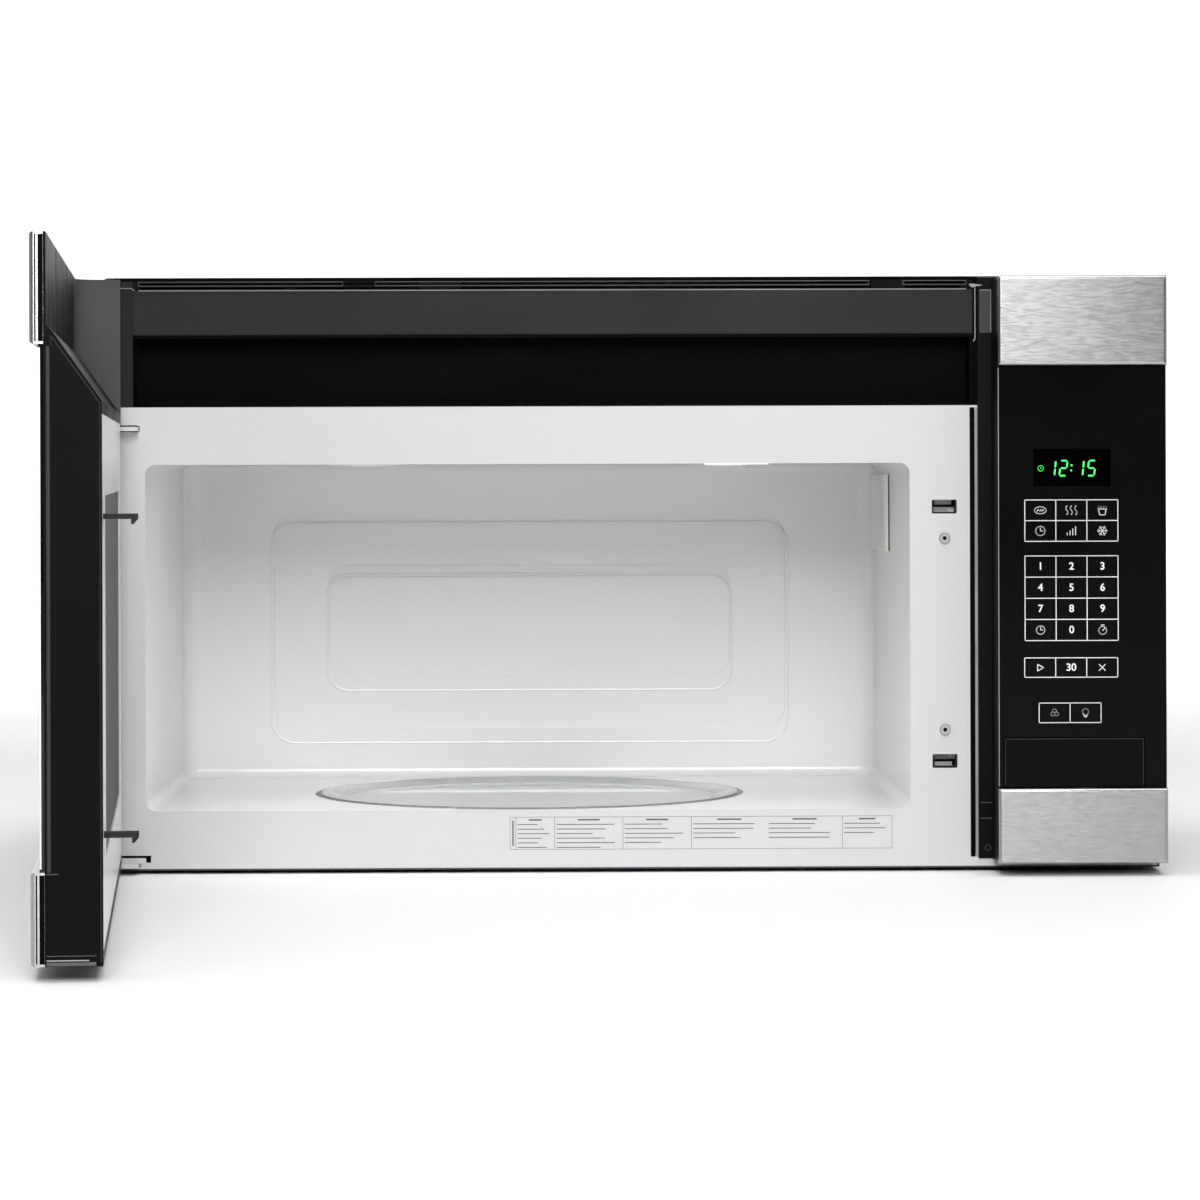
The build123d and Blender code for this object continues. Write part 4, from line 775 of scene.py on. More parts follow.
class Maker:
    """A mesh under construction that becomes a piece when its block ends."""

    def __init__(self, item: Fitting, material: bpy.types.Material) -> None:
        """Start the mesh with what the fitting lists.

        Args:
            item: the fitting.
            material: its material.
        """
        self.item, self.material = item, material
        self.mesh = bmesh.new()
        for bead in item.beads:
            self.bead(bead, item.face, item.side)
        for plate in item.plates:
            self.plate(plate.outline, item.face - plate.lift, plate.height)
        for low, high in item.slabs:
            self.slab(low, high)

    def __enter__(self) -> "Maker":
        """Open the block."""
        return self

    def __exit__(self, *problem: object) -> None:
        """Finish the piece."""
        self.finish()

    def finish(self) -> None:
        """Turn the mesh into a piece that rides its body."""
        item = self.item
        if item.body == "door":
            self.swing()
        bmesh.ops.recalc_face_normals(self.mesh, faces=self.mesh.faces)
        data = bpy.data.meshes.new(item.name)
        self.mesh.to_mesh(data)
        self.mesh.free()
        piece = in_scene(item.name, data)
        data.materials.append(self.material)
        if item.bevel:
            edge = piece.modifiers.new("edge", "BEVEL")
            edge.width, edge.segments, edge.limit_method = item.bevel * MM, 2, "ANGLE"
        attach(piece, item.body)
        LOG.info("%s made on %s", item.name, item.body)

    def swing(self) -> None:
        """Swing a mesh that was drawn on the shut door open about the hinge."""
        there = Matrix.Translation(Vector(HINGE) * MM)
        turn = there @ Matrix.Rotation(-math.radians(DOOR_ANGLE), 4, "Z") @ there.inverted()
        bmesh.ops.transform(self.mesh, matrix=turn, verts=self.mesh.verts)

    def loft(self, rings: list[list[Place]]) -> None:
        """Join rings of equal length with quads and close both ends.

        Args:
            rings: the rings.
        """
        rows = [[self.mesh.verts.new(Vector(point) * MM) for point in ring] for ring in rings]
        for low, high in zip(rows, rows[1:]):
            for i, j in zip(range(len(low)), [*range(1, len(low)), 0]):
                self.mesh.faces.new((low[i], low[j], high[j], high[i]))
        self.mesh.faces.new(list(reversed(rows[0])))
        self.mesh.faces.new(rows[-1])

    def slab(self, low: Place, high: Place) -> None:
        """Add a block between two corners."""
        corners = [(low[0], low[1]), (high[0], low[1]), (high[0], high[1]), (low[0], high[1])]
        self.loft([[(x, y, z) for x, y in corners] for z in (low[2], high[2])])

    def plate(self, outline: Iterable[Flat], face: float, height: float) -> None:
        """Raise an outline that is drawn on the front.

        Args:
            outline: its corners, as x and z.
            face: the front's y.
            height: how far it stands proud.
        """
        points = list(outline)
        self.loft([[(x, y, z) for x, z in points] for y in (face, face - height)])

    def stroke(self, path: list[Flat], face: float, width: float, height: float) -> None:
        """Print strokes on the front from point to point.

        Args:
            path: the points, as x and z.
            face: the front's y.
            width: stroke width.
            height: how far the ink stands proud.
        """
        for start, end in zip(path, path[1:]):
            along = Vector((end[0] - start[0], end[1] - start[1])).normalized()
            side = Vector((-along.y, along.x)) * width / 2
            a, b = Vector(start) - along * width / 2, Vector(end) + along * width / 2
            self.plate([a + side, a - side, b - side, b + side], face, height)

    def turned(self, centre: Place, rings: list[tuple[float | Callable, float]], steps: int = 36) -> None:
        """Turn a profile about an axis that faces the front.

        Args:
            centre: a point on the axis.
            rings: radius, or radius by angle, and depth in front of the centre.
            steps: points round each ring.
        """
        made = []
        for radius, depth in rings:
            ring = []
            for angle in (math.tau * i / steps for i in range(steps)):
                reach = radius(angle) if callable(radius) else radius
                across, up = reach * math.cos(angle), reach * math.sin(angle)
                ring.append((centre[0] + across, centre[1] - depth, centre[2] + up))
            made.append(ring)
        self.loft(made)

    def dome(self, centre: Place, reach: Flat, drop: float, steps: int, rings: int) -> None:
        """Hang a shallow dome under a level surface.

        Args:
            centre: its middle, on the surface.
            reach: its half widths, across and in depth.
            drop: how far it hangs down.
            steps: points round it.
            rings: rings from its edge to its tip.
        """
        turn = [math.tau * i / steps for i in range(steps)]
        made = []
        for lift in (math.pi / 2 * ring / rings for ring in range(rings)):
            wide, deep = reach[0] * math.cos(lift), reach[1] * math.cos(lift)
            z = centre[2] - drop * math.sin(lift)
            made.append([(centre[0] + wide * math.cos(a), centre[1] + deep * math.sin(a), z) for a in turn])
        self.loft(made)

    def bead(self, bead: Bead, face: float, side: Side = Side.FRONT) -> None:
        """Lay a bead on a face.

        Args:
            bead: the bead.
            face: where the face lies along its own axis.
            side: the way that the face looks.
        """
        out = Vector(side.value)
        spots = [side.spot(face, point) + out * bead.lift for point in bead.path]
        for start, end in zip(spots, spots[1:]):
            across = (end - start).normalized().cross(out) * bead.width / 2
            flank, rise = across * bead.flank[0], out * bead.height * bead.flank[1]
            section = [-across, -flank + rise, out * bead.height, flank + rise, across]
            self.loft([[tuple(spot + corner) for corner in section] for spot in (start, end)])


def in_scene(name: str, data: bpy.types.ID) -> bpy.types.Object:
    """Make an object and put it into the scene.

    Args:
        name: its name.
        data: its mesh, curve, light or camera.

    Returns:
        The object.
    """
    made = bpy.data.objects.new(name, data)
    bpy.context.scene.collection.objects.link(made)
    return made


def arc(centre: Flat, radius: float, start: float = 0, end: float = 360, steps: int = 20) -> list[Flat]:
    """Points along an arc.

    Args:
        centre: the arc's centre.
        radius: its radius.
        start: first angle in degrees.
        end: last angle in degrees.
        steps: number of strokes.

    Returns:
        The points.
    """
    angles = [math.radians(start + (end - start) * i / steps) for i in range(steps + 1)]
    return [(centre[0] + radius * math.cos(a), centre[1] + radius * math.sin(a)) for a in angles]


@dataclass
class Camera:
    """The camera at the photograph's viewing angle.

    Attributes:
        place: lens centre.
        yaw: turn to the right, in degrees.
        pitch: tilt upward, in degrees.
        roll: roll about the view line, in degrees.
        lens: focal length in millimetres on a 36 mm sensor.
        shift: sensor shift, across and up.
    """

    place: Place = (-0.0646, -3.4054, 0.0777)
    yaw: float = 0.70
    pitch: float = 0.0186
    roll: float = -0.1727
    lens: float = 127.27
    shift: Flat = (0.0050, -0.11363)

    def build(self) -> None:
        """Make the camera and set it as the scene's own."""
        yaw, pitch, roll = (math.radians(v) for v in (self.yaw, self.pitch, self.roll))
        ahead = Vector((math.sin(yaw) * math.cos(pitch), math.cos(yaw) * math.cos(pitch), math.sin(pitch)))
        right = Vector((math.cos(yaw), -math.sin(yaw), 0))
        up = right.cross(ahead)
        turned_right = math.cos(roll) * right + math.sin(roll) * up
        turned_up = math.cos(roll) * up - math.sin(roll) * right
        data = bpy.data.cameras.new("camera")
        data.lens = self.lens
        data.shift_x, data.shift_y = self.shift
        camera = in_scene("camera", data)
        basis = Matrix((turned_right, turned_up, -ahead)).transposed().to_4x4()
        camera.matrix_world = Matrix.Translation(self.place) @ basis
        bpy.context.scene.camera = camera
        LOG.info("camera set")


@dataclass(frozen=True)
class Softbox:
    """One rectangular light.

    Attributes:
        name: the light's name.
        place: its centre.
        aim: the point it faces.
        size: width and height.
        power: watts.
        shown: whether the camera sees the light itself.
    """

    name: str
    place: Place
    aim: Place
    size: Flat
    power: float
    shown: bool = True

    def build(self) -> None:
        """Make the light and turn it to its aim."""
        data = bpy.data.lights.new(self.name, "AREA")
        data.shape = "RECTANGLE"
        data.size, data.size_y = self.size
        data.energy = self.power
        light = in_scene(self.name, data)
        light.location = self.place
        light.visible_camera = self.shown
        light.rotation_euler = (Vector(self.aim) - Vector(self.place)).to_track_quat("-Z", "Y").to_euler()
        LOG.info("light %s set", self.name)


@dataclass
class Studio:
    """A pale floor that curves up into a backdrop, soft lights and a pale surround.

    Attributes:
        floor: height of the floor.
        reach: half the floor's width.
        near: how far the floor comes forward.
        wall: how far back the backdrop stands.
        bend: radius between floor and backdrop.
        steps: stretches that the bend is made of.
        height: height of the backdrop.
        paper: darkest and lightest grey of the floor.
        dull: lowest and highest roughness of the floor.
        fade: where the surround turns from the dark side to the pale one.
        surround: its brightness behind the camera, where a studio is dark, and ahead of it.
        lights: the softboxes.
    """

    floor: float = -0.2155
    reach: float = 9.0
    near: float = -9.0
    wall: float = 6.0
    bend: float = 2.0
    steps: int = 12
    height: float = 7.0
    paper: Flat = (0.93, 0.95)
    dull: Flat = (0.55, 0.65)
    fade: Flat = (-0.7, -0.1)
    surround: Flat = (0.03, 0.5)
    lights: tuple[Softbox, ...] = (
        Softbox("key", (-0.08, -3.6, 1.35), (-0.05, -0.3, 0), (1.06, 1.3), 66),
        Softbox("steel card", (0.61, -3.6, 1.35), (0.2, -0.3, 0), (0.34, 1.3), 8),
        Softbox("top", (0.0, -1.2, 3.2), (0, -0.7, 0), (3.4, 2.4), 72),
        Softbox("backdrop left", (-2.4, 2.4, 2.6), (-1.2, 6, 1.4), (1.6, 1.6), 110),
        Softbox("backdrop right", (2.4, 2.4, 2.6), (1.2, 6, 1.4), (1.6, 1.6), 110),
        Softbox("oven lamp", (-0.09, -0.3, 0.074), (-0.09, -0.22, -0.17), (0.42, 0.05), 0.2, False),
    )

    def build(self) -> None:
        """Make the floor, the surround and the lights."""
        self.sweep()
        self.air()
        bpy.context.scene.view_settings.view_transform = "Standard"
        for light in self.lights:
            light.build()
        LOG.info("studio built")

    def sweep(self) -> None:
        """Make the floor and its backdrop in one curved sheet."""
        turns = [math.pi / 2 * i / self.steps for i in range(self.steps + 1)]
        bend = [
            (self.wall - self.bend * (1 - math.sin(turn)), self.floor + self.bend * (1 - math.cos(turn)))
            for turn in turns
        ]
        profile = [(self.near, self.floor), *bend, (self.wall, self.height)]
        mesh = bmesh.new()
        rows = [[mesh.verts.new((x, y, z)) for x in (-self.reach, self.reach)] for y, z in profile]
        for low, high in zip(rows, rows[1:]):
            mesh.faces.new((low[0], low[1], high[1], high[0])).smooth = True
        data = bpy.data.meshes.new("studio floor")
        mesh.to_mesh(data)
        mesh.free()
        graph = Graph("pale studio floor")
        graph.tones(graph.noise(2, 2), grey(1.0), self.paper)
        graph.give("Roughness", graph.between(graph.noise(40, 3), *self.dull))
        data.materials.append(graph.material)
        in_scene("studio_floor", data)

    def air(self) -> None:
        """Make the surround, pale ahead of the camera and dark behind it."""
        world = bpy.data.worlds.new("studio surround")
        world.use_nodes = True
        tree = world.node_tree
        background = tree.nodes["Background"]
        spot = tree.nodes.new("ShaderNodeTexCoord")
        parts = tree.nodes.new("ShaderNodeSeparateXYZ")
        fade = tree.nodes.new("ShaderNodeMapRange")
        sockets = ("From Min", "From Max", "To Min", "To Max")
        for name, value in zip(sockets, (*self.fade, *self.surround)):
            fade.inputs[name].default_value = value
        tree.links.new(spot.outputs["Generated"], parts.inputs["Vector"])
        tree.links.new(parts.outputs["Y"], fade.inputs["Value"])
        tree.links.new(fade.outputs["Result"], background.inputs["Strength"])
        background.inputs["Color"].default_value = (1, 1, 1, 1)
        bpy.context.scene.world = world


@dataclass
class Trim:
    """A sub-assembly whose pieces take their finishes from one palette.

    Attributes:
        palette: the materials.
    """

    palette: Palette

    def piece(self, item: Fitting) -> Maker:
        """Start one piece, which is finished when its block ends."""
        return Maker(item, self.palette[item.finish])

    def build(self) -> None:
        """Make every fitting among the fields."""
        for entry in fields(self):
            item = getattr(self, entry.name)
            if isinstance(item, Fitting):
                self.piece(item).finish()


@dataclass(frozen=True)
class KeyBlock:
    """A block of printed keys.

    Attributes:
        left: left edge.
        top: top edge.
        columns: number of keys across.
        rows: number of keys down.
        width: key width.
        height: key height.
    """

    left: float
    top: float
    columns: int
    rows: int
    width: float
    height: float

    def middle(self, column: int, row: int) -> Flat:
        """Give the centre of one key."""
        return self.left + (column + 0.5) * self.width, self.top - (row + 0.5) * self.height

    def rules(self) -> list[list[Flat]]:
        """Draw the lines round and between the keys.

        Returns:
            The ends of each line.
        """
        right = self.left + self.columns * self.width
        foot = self.top - self.rows * self.height
        upright = [self.left + column * self.width for column in range(self.columns + 1)]
        level = [self.top - row * self.height for row in range(self.rows + 1)]
        return [[(x, foot), (x, self.top)] for x in upright] + [[(self.left, z), (right, z)] for z in level]


def snowflake(reach: float, barb: float, half: float) -> list[list[Flat]]:
    """Draw a snowflake about the origin.

    Args:
        reach: length of its arms.
        barb: radius of the small arc at each tip.
        half: half that arc's angle in degrees.

    Returns:
        The points of each stroke.
    """
    strokes = []
    for turn in (0, 60, 120):
        far, near = arc((0, 0), reach, turn, turn + 180, 1)
        strokes.append([near, far])
        for tip, way in ((near, turn), (far, turn + 180)):
            strokes.append(arc(tip, barb, way - half, way + half, 4))
    return strokes


SYMBOLS = {
    ("functions", 0, 0): [
        [(x, z * 2.5 / 4.2) for x, z in arc((0, 0), 4.2)],
        *([(x - 0.5, -0.5), (x + 0.5, 0.5)] for x in (-1.8, 0.2, 1.9)),
    ],
    ("functions", 1, 0): [
        [(x + 0.8 * math.sin(0.8 * i), -3 + 0.76 * i) for i in range(9)] for x in (-3.2, 0, 3.2)
    ],
    ("functions", 2, 0): [
        [(-2.8, 0.8), (-1.9, -3.4), (1.9, -3.4), (2.8, 0.8), (-2.8, 0.8)],
        *(arc((x, 1.6), 1.1, -20, 200, 10) for x in (-1.9, 0, 1.9)),
    ],
    ("functions", 0, 1): [arc((0, 0), 3.3, steps=22), [(0, 2.1), (0, 0), (1.6, 0)]],
    ("functions", 1, 1): [[(x, -2.8), (x, z)] for x, z in ((-3, -1.6), (-1, -0.1), (1, 1.4), (3, 2.9))],
    ("functions", 2, 1): snowflake(3.4, 1.1, 50),
    ("numbers", 0, 3): [arc((0, 0), 3.0), [(0, 1.9), (0, 0), (1.4, 0)]],
    ("numbers", 2, 3): [arc((0, -0.4), 2.8), [(0, -0.4), (1.5, 1.1)], [(-1.0, 3.4), (1.0, 3.4)]],
    ("starters", 0, 0): [[(-1.8, -2.4), (-1.8, 2.4), (2.4, 0), (-1.8, -2.4)]],
    ("starters", 2, 0): [[(-2.1, -2.1), (2.1, 2.1)], [(-2.1, 2.1), (2.1, -2.1)]],
    ("helpers", 0, 0): [arc(leaf, 1.4, steps=14) for leaf in arc((0, 0), 1.4, 90, 330, 2)],
    ("helpers", 1, 0): [
        arc((0, 0.7), 2.2, -50, 230, 16), [(-1.2, -1.9), (1.2, -1.9)], [(-0.8, -2.9), (0.8, -2.9)]
    ],
}
SEGMENTS = {
    "a": ((0, 1), (1, 1)), "b": ((1, 1), (1, 0.5)), "c": ((1, 0.5), (1, 0)), "d": ((0, 0), (1, 0)),
    "e": ((0, 0), (0, 0.5)), "f": ((0, 0.5), (0, 1)), "g": ((0, 0.5), (1, 0.5)),
}
LIT = {"1": "bc", "2": "abged", "5": "afgcd"}


@dataclass
class ControlPanel(Trim):
    """Printed key outlines, numbers and symbols.

    Attributes:
        line: width of the printed lines.
        ink: how far the ink stands proud.
        letter: size of the numbers.
        swell: how much their strokes are thickened.
        blocks: the blocks of keys.
    """

    line: float = 0.55
    ink: float = 0.03
    letter: float = 7.398
    swell: float = 0.12
    blocks: ClassVar[dict[str, KeyBlock]] = {
        "functions": KeyBlock(278.4, 51.9, 3, 2, 22.1, 14.7),
        "numbers": KeyBlock(278.4, 12.1, 3, 4, 22.1, 15.05),
        "starters": KeyBlock(278.0, -60.4, 3, 1, 22.1, 13.8),
        "helpers": KeyBlock(288.2, -92.5, 2, 1, 22.05, 14.0),
    }

    def build(self) -> None:
        """Print the panel."""
        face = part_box("key_overlay")[0].y / MM
        with self.piece(Fitting("key_outlines", "legend", "gloss_black")) as maker:
            for block in self.blocks.values():
                for rule in block.rules():
                    maker.stroke(rule, face, self.line, self.ink)
        for number in range(10):
            row, column = divmod(number - 1, 3) if number else (3, 1)
            self.figure(str(number), self.blocks["numbers"].middle(column, row), face)
        self.figure("30", self.blocks["starters"].middle(1, 0), face)
        with self.piece(Fitting("key_symbols", "legend", "gloss_black")) as maker:
            for (block, column, row), paths in SYMBOLS.items():
                x, z = self.blocks[block].middle(column, row)
                for path in paths:
                    maker.stroke([(x + across, z + up) for across, up in path], face, self.line, self.ink)

    def figure(self, text: str, middle: Flat, face: float) -> None:
        """Print one number.

        Args:
            text: the number.
            middle: where its centre is, as x and z.
            face: the overlay's y.
        """
        data = bpy.data.curves.new("number_" + text, "FONT")
        data.body = text
        data.size = self.letter * MM
        data.offset = self.swell * MM
        data.extrude = self.ink / 2 * MM
        data.align_x, data.align_y = "CENTER", "CENTER"
        data.materials.append(self.palette["legend"])
        piece = in_scene("number_" + text, data)
        piece.rotation_euler = (math.pi / 2, 0, 0)
        piece.location = Vector((middle[0], face - self.ink / 2, middle[1])) * MM
        bpy.context.view_layer.update()
        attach(piece, "case")
        LOG.info("%s made on case", piece.name)


@dataclass
class Clock(Trim):
    """The lit clock behind the display window.

    Attributes:
        width: width of a digit.
        height: its height.
        bar: width of a segment.
        lean: how far a digit leans, as a share of its height.
        gap: how far a segment keeps from its corner.
        foot: the digits' foot.
        light: how far the light stands proud.
        digits: left edge of each digit, and the digit.
        colon: left edge of the colon.
        dots: heights of its dots, as shares of a digit's height.
        dot: half the width of a dot.
        mark: middle of the small mark.
        dial: its radius.
        hands: tips of its hands, from its middle.
        line: its line width.
    """

    width: float = 4.8
    height: float = 10.7
    bar: float = 1.15
    lean: float = 0.1
    gap: float = 0.25
    foot: float = 69.1
    light: float = 0.04
    digits: tuple[tuple[float, str], ...] = ((294.8, "1"), (303.1, "2"), (314.8, "1"), (323.1, "5"))
    colon: float = 311.1
    dots: Flat = (0.35, 0.69)
    dot: float = 0.6
    mark: Flat = (289.85, 74.4)
    dial: float = 2.0
    hands: tuple[Flat, Flat] = ((0, 1.1), (0.8, 0))
    line: float = 0.3

    def build(self) -> None:
        """Light the digits, the colon and the mark."""
        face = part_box("display_module")[0].y / MM
        with self.piece(Fitting("clock_segments", "clock", "display_glass")) as maker:
            for left, digit in self.digits:
                for segment in LIT[digit]:
                    maker.plate(self.segment(left, segment), face, self.light)
            for up in self.dots:
                x, z = self.spot(self.colon, 0, up)
                corners = ((-1, -1), (1, -1), (1, 1), (-1, 1))
                maker.plate([(x + self.dot * a, z + self.dot * b) for a, b in corners], face, self.light)
            maker.stroke(arc(self.mark, self.dial, steps=18), face, self.line, self.light)
            for across, up in self.hands:
                tip = (self.mark[0] + across, self.mark[1] + up)
                maker.stroke([self.mark, tip], face, self.line, self.light)

    def spot(self, left: float, across: float, up: float) -> Flat:
        """Put a point of a digit in place, with its lean.

        Args:
            left: the digit's left edge.
            across: where the point is across the digit, from 0 to 1.
            up: where it is up the digit, from 0 to 1.

        Returns:
            The point, as x and z.
        """
        return left + across * self.width + up * self.height * self.lean, self.foot + up * self.height

    def segment(self, left: float, name: str) -> list[Vector]:
        """Outline one segment.

        Args:
            left: the digit's left edge.
            name: the segment's letter.

        Returns:
            Its six corners.
        """
        start, end = (Vector(self.spot(left, *corner)) for corner in SEGMENTS[name])
        along = (end - start).normalized()
        side, tip = Vector((-along.y, along.x)) * self.bar / 2, along * self.bar / 2
        a, b = start + along * self.gap, end - along * self.gap
        return [a, a + tip - side, b - tip - side, b, b - tip + side, a + tip + side]


@dataclass
class GuideCard(Trim):
    """The ruled card on the sill, left without words.

    Attributes:
        box: its left, right, foot and top.
        columns: where the upright rules stand.
        rows: dashes in each column, under its heading.
        wide: a column wider than this has two rows of dashes side by side.
        pitch: spacing of the dashes.
        drop: how far the headings lie under the top.
        margins: left margin of a cell, and both margins together.
        heading: width of a heading, as a share of its cell.
        reach: shortest dash and what the longest adds, as shares of the cell.
        waver: how fast the dashes' lengths change, from row to row and cell to cell.
        spine: how far the upright dash in the first cell keeps from the card's edges.
        pens: line width and ink height of rules, headings, dashes and the upright dash.
    """

    box: Bounds = (-88.5, 186.6, -198.8, -175.6)
    columns: tuple[float, ...] = (-84.3, -56.4, -7.3, 42.1, 150.8)
    rows: tuple[int, ...] = (6, 6, 5, 4, 3)
    wide: float = 80.0
    pitch: float = 3.3
    drop: float = 2.0
    margins: Flat = (1.6, 3.0)
    heading: float = 0.3
    reach: Flat = (0.55, 0.35)
    waver: Flat = (2.3, 1.7)
    spine: float = 3.0
    pens: tuple[Flat, ...] = ((0.3, 0.03), (1.1, 0.03), (0.6, 0.02), (1.0, 0.02))

    def build(self) -> None:
        """Print the rules and the plain dashes in the cells."""
        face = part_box("front_frame")[0].y / MM
        left, right, foot, top = self.box
        rule, bold, dash, mark = self.pens
        with self.piece(Fitting("guide_card", "grey legend", "frame_enamel")) as card:
            for z in (foot, top):
                card.stroke([(left, z), (right, z)], face, *rule)
            for x in (left, *self.columns, right):
                card.stroke([(x, foot), (x, top)], face, *rule)
            for index, (west, east, rows) in enumerate(self.cells()):
                middle, half = (west + east) / 2, (east - west) * self.heading / 2
                z = top - self.drop
                card.stroke([(middle - half, z), (middle + half, z)], face, *bold)
                for row in range(rows):
                    z = top - self.drop - self.pitch * (row + 1)
                    swing = math.sin(self.waver[0] * row + self.waver[1] * index) ** 2
                    reach = (east - west - self.margins[1]) * (self.reach[0] + self.reach[1] * swing)
                    start = west + self.margins[0]
                    card.stroke([(start, z), (start + reach, z)], face, *dash)
            x = (left + self.columns[0]) / 2
            card.stroke([(x, foot + self.spine), (x, top - self.spine)], face, *mark)

    def cells(self) -> list[tuple[float, float, int]]:
        """Divide the card.

        Returns:
            Left edge, right edge and dashes of every cell.
        """
        edges = [*self.columns, self.box[1]]
        cells = []
        for west, east, rows in zip(edges, edges[1:], self.rows):
            parts = 2 if east - west > self.wide else 1
            width = (east - west) / parts
            cells += [(west + width * part, west + width * (part + 1), rows) for part in range(parts)]
        return cells


def around(left: float, right: float, foot: float, top: float) -> tuple[Flat, ...]:
    """Give the corners of a closed frame, starting at its lower left."""
    return (left, foot), (left, top), (right, top), (right, foot), (left, foot)


@dataclass
class VentTrim(Trim):
    """Moulded edges round the top vent and its right-hand end, with painted highlights on them and painted
    shade in the gaps.

    Attributes:
        lips: painted highlights on the lips round the louvre's slots.
        edges: painted highlights on the edges of the brow, the left post, the end rail and the pad.
        clip: painted highlight on the corner clip at the vent's right end.
        pad: raised pad beside it.
        gap: painted shade in the gap under the case roof and beside the end rail.
    """

    # painted highlights on the lips round the louvre's slots
    lips: Fitting = Fitting("louvre_lip_highlights", "painted dim highlight", "vent_grey", -352.0, (
        Bead(around(-354.5, -207.7, 207.1, 209.9), 0.6, 0.5),
        Bead(around(-184.2, 171.0, 207.1, 209.9), 0.6, 0.5),
        Bead(around(195.5, 241.0, 207.1, 209.9), 0.6, 0.5),
    ))
    # painted highlights on the brow, the left post, the end rail and the pad
    edges: Fitting = Fitting("vent_edge_highlights", "painted highlight", "vent_grey", -352.0, (
        Bead(((-354.5, 203.8), (241.0, 203.8)), 0.8, 0.5),
        Bead(((-373.0, 205.6), (-359.6, 205.6), (-357.4, 203.8)), 0.6, 0.4),
        Bead(((246.35, 166.0), (247.55, 168.0), (247.55, 206.0)), 0.9, 0.4),
        Bead(((250.9, 202.8), (258.5, 202.8), (258.5, 172.8)), 0.6, 0.3, lift=3.6),
    ))
    # painted highlight on the corner clip at the vent's right end
    clip: Fitting = Fitting("vent_corner_highlight", "painted highlight", "vent_grey", -352.0, plates=(
        Plate(((242.95, 207.2), (244.55, 207.6), (252.35, 206.6), (252.35, 206.0), (247.55, 205.5),
               (245.95, 204.6), (243.95, 205.6)), 2.9, -0.1),
    ), bevel=0.2)
    pad: Fitting = Fitting("vent_end_pad", "pad grey", "black_plastic", slabs=(
        ((250.3, -354.5, 171.8), (258.9, -355.6, 203.2)),
    ), bevel=0.2)
    # painted shade in the gap under the case roof and beside the end rail
    gap: Fitting = Fitting("vent_roof_gap_shade", "painted shade", "vent_grey", -352.0, (
        Bead(((-373.0, 211.7), (248.9, 211.7)), 2.4, 0.12),
    ), slabs=(((245.6, -346.0, 120.4), (248.9, -352.0, 211.4)),))


door_end = partial(Fitting, face=257.0, side=Side.END, body="door")


@dataclass
class DoorTrim(Trim):
    """Moulded edges on the door's free end, drawn with the door shut, with painted highlights on them and
    painted shade in the steel strips' folds.

    Attributes:
        creases: creases of the moulding, in painted faint highlight.
        lip: painted highlight along the lip at the foot.
        foot: painted highlight along the moulding's foot.
        folds: painted shade in the folds on the edges of the upper and lower steel strip.
        rim: painted highlight along the glass's edge.
    """

    # painted faint highlights along the moulding's creases
    creases: Fitting = door_end("door_end_crease_highlights", "painted faint highlight", "black_plastic", beads=(
        Bead(((-385.6, 146.5), (-385.6, 152.0), (-358.2, 114.0), (-358.2, -204.5)), 0.7, 0.4),
        Bead(((-387.5, 146.0), (-387.5, -153.0)), 2.2, 0.25),
        Bead(((-389.0, -200.5), (-361.0, -200.5)), 0.5, 0.3),
        Bead(((-389.0, -154.0), (-382.0, -154.0)), 0.6, 0.3),
    ))
    # painted highlight along the lip at the foot
    lip: Fitting = door_end("door_end_lip_highlight", "painted highlight", "black_plastic", beads=(
        Bead(((-389.0, -203.1), (-365.0, -203.1)), 0.8, 0.5),
    ))
    # painted highlight along the moulding's foot
    foot: Fitting = door_end("door_end_foot_highlight", "painted dim highlight", "black_plastic", beads=(
        Bead(((-389.0, -205.1), (-361.0, -205.1)), 2.2, 0.4),
    ))
    # painted shade in the folds of the upper and lower steel strip
    folds: Fitting = door_end("door_strip_fold_shade", "painted shade", "stainless", beads=(
        Bead(((-394.6, 149.0), (-394.6, 210.0)), 0.9, 0.04),
        Bead(((-391.5, 149.0), (-391.5, 210.0)), 2.9, 0.15),
        Bead(((-394.6, -205.0), (-394.6, -154.5)), 0.9, 0.04),
        Bead(((-391.5, -205.0), (-391.5, -154.5)), 2.9, 0.15),
    ))
    # painted highlight along the glass's edge
    rim: Fitting = door_end("door_glass_rim_highlight", "painted rim highlight", "black_glass", beads=(
        Bead(((-392.3, -151.0), (-392.3, 145.5)), 1.0, 0.15),
    ))


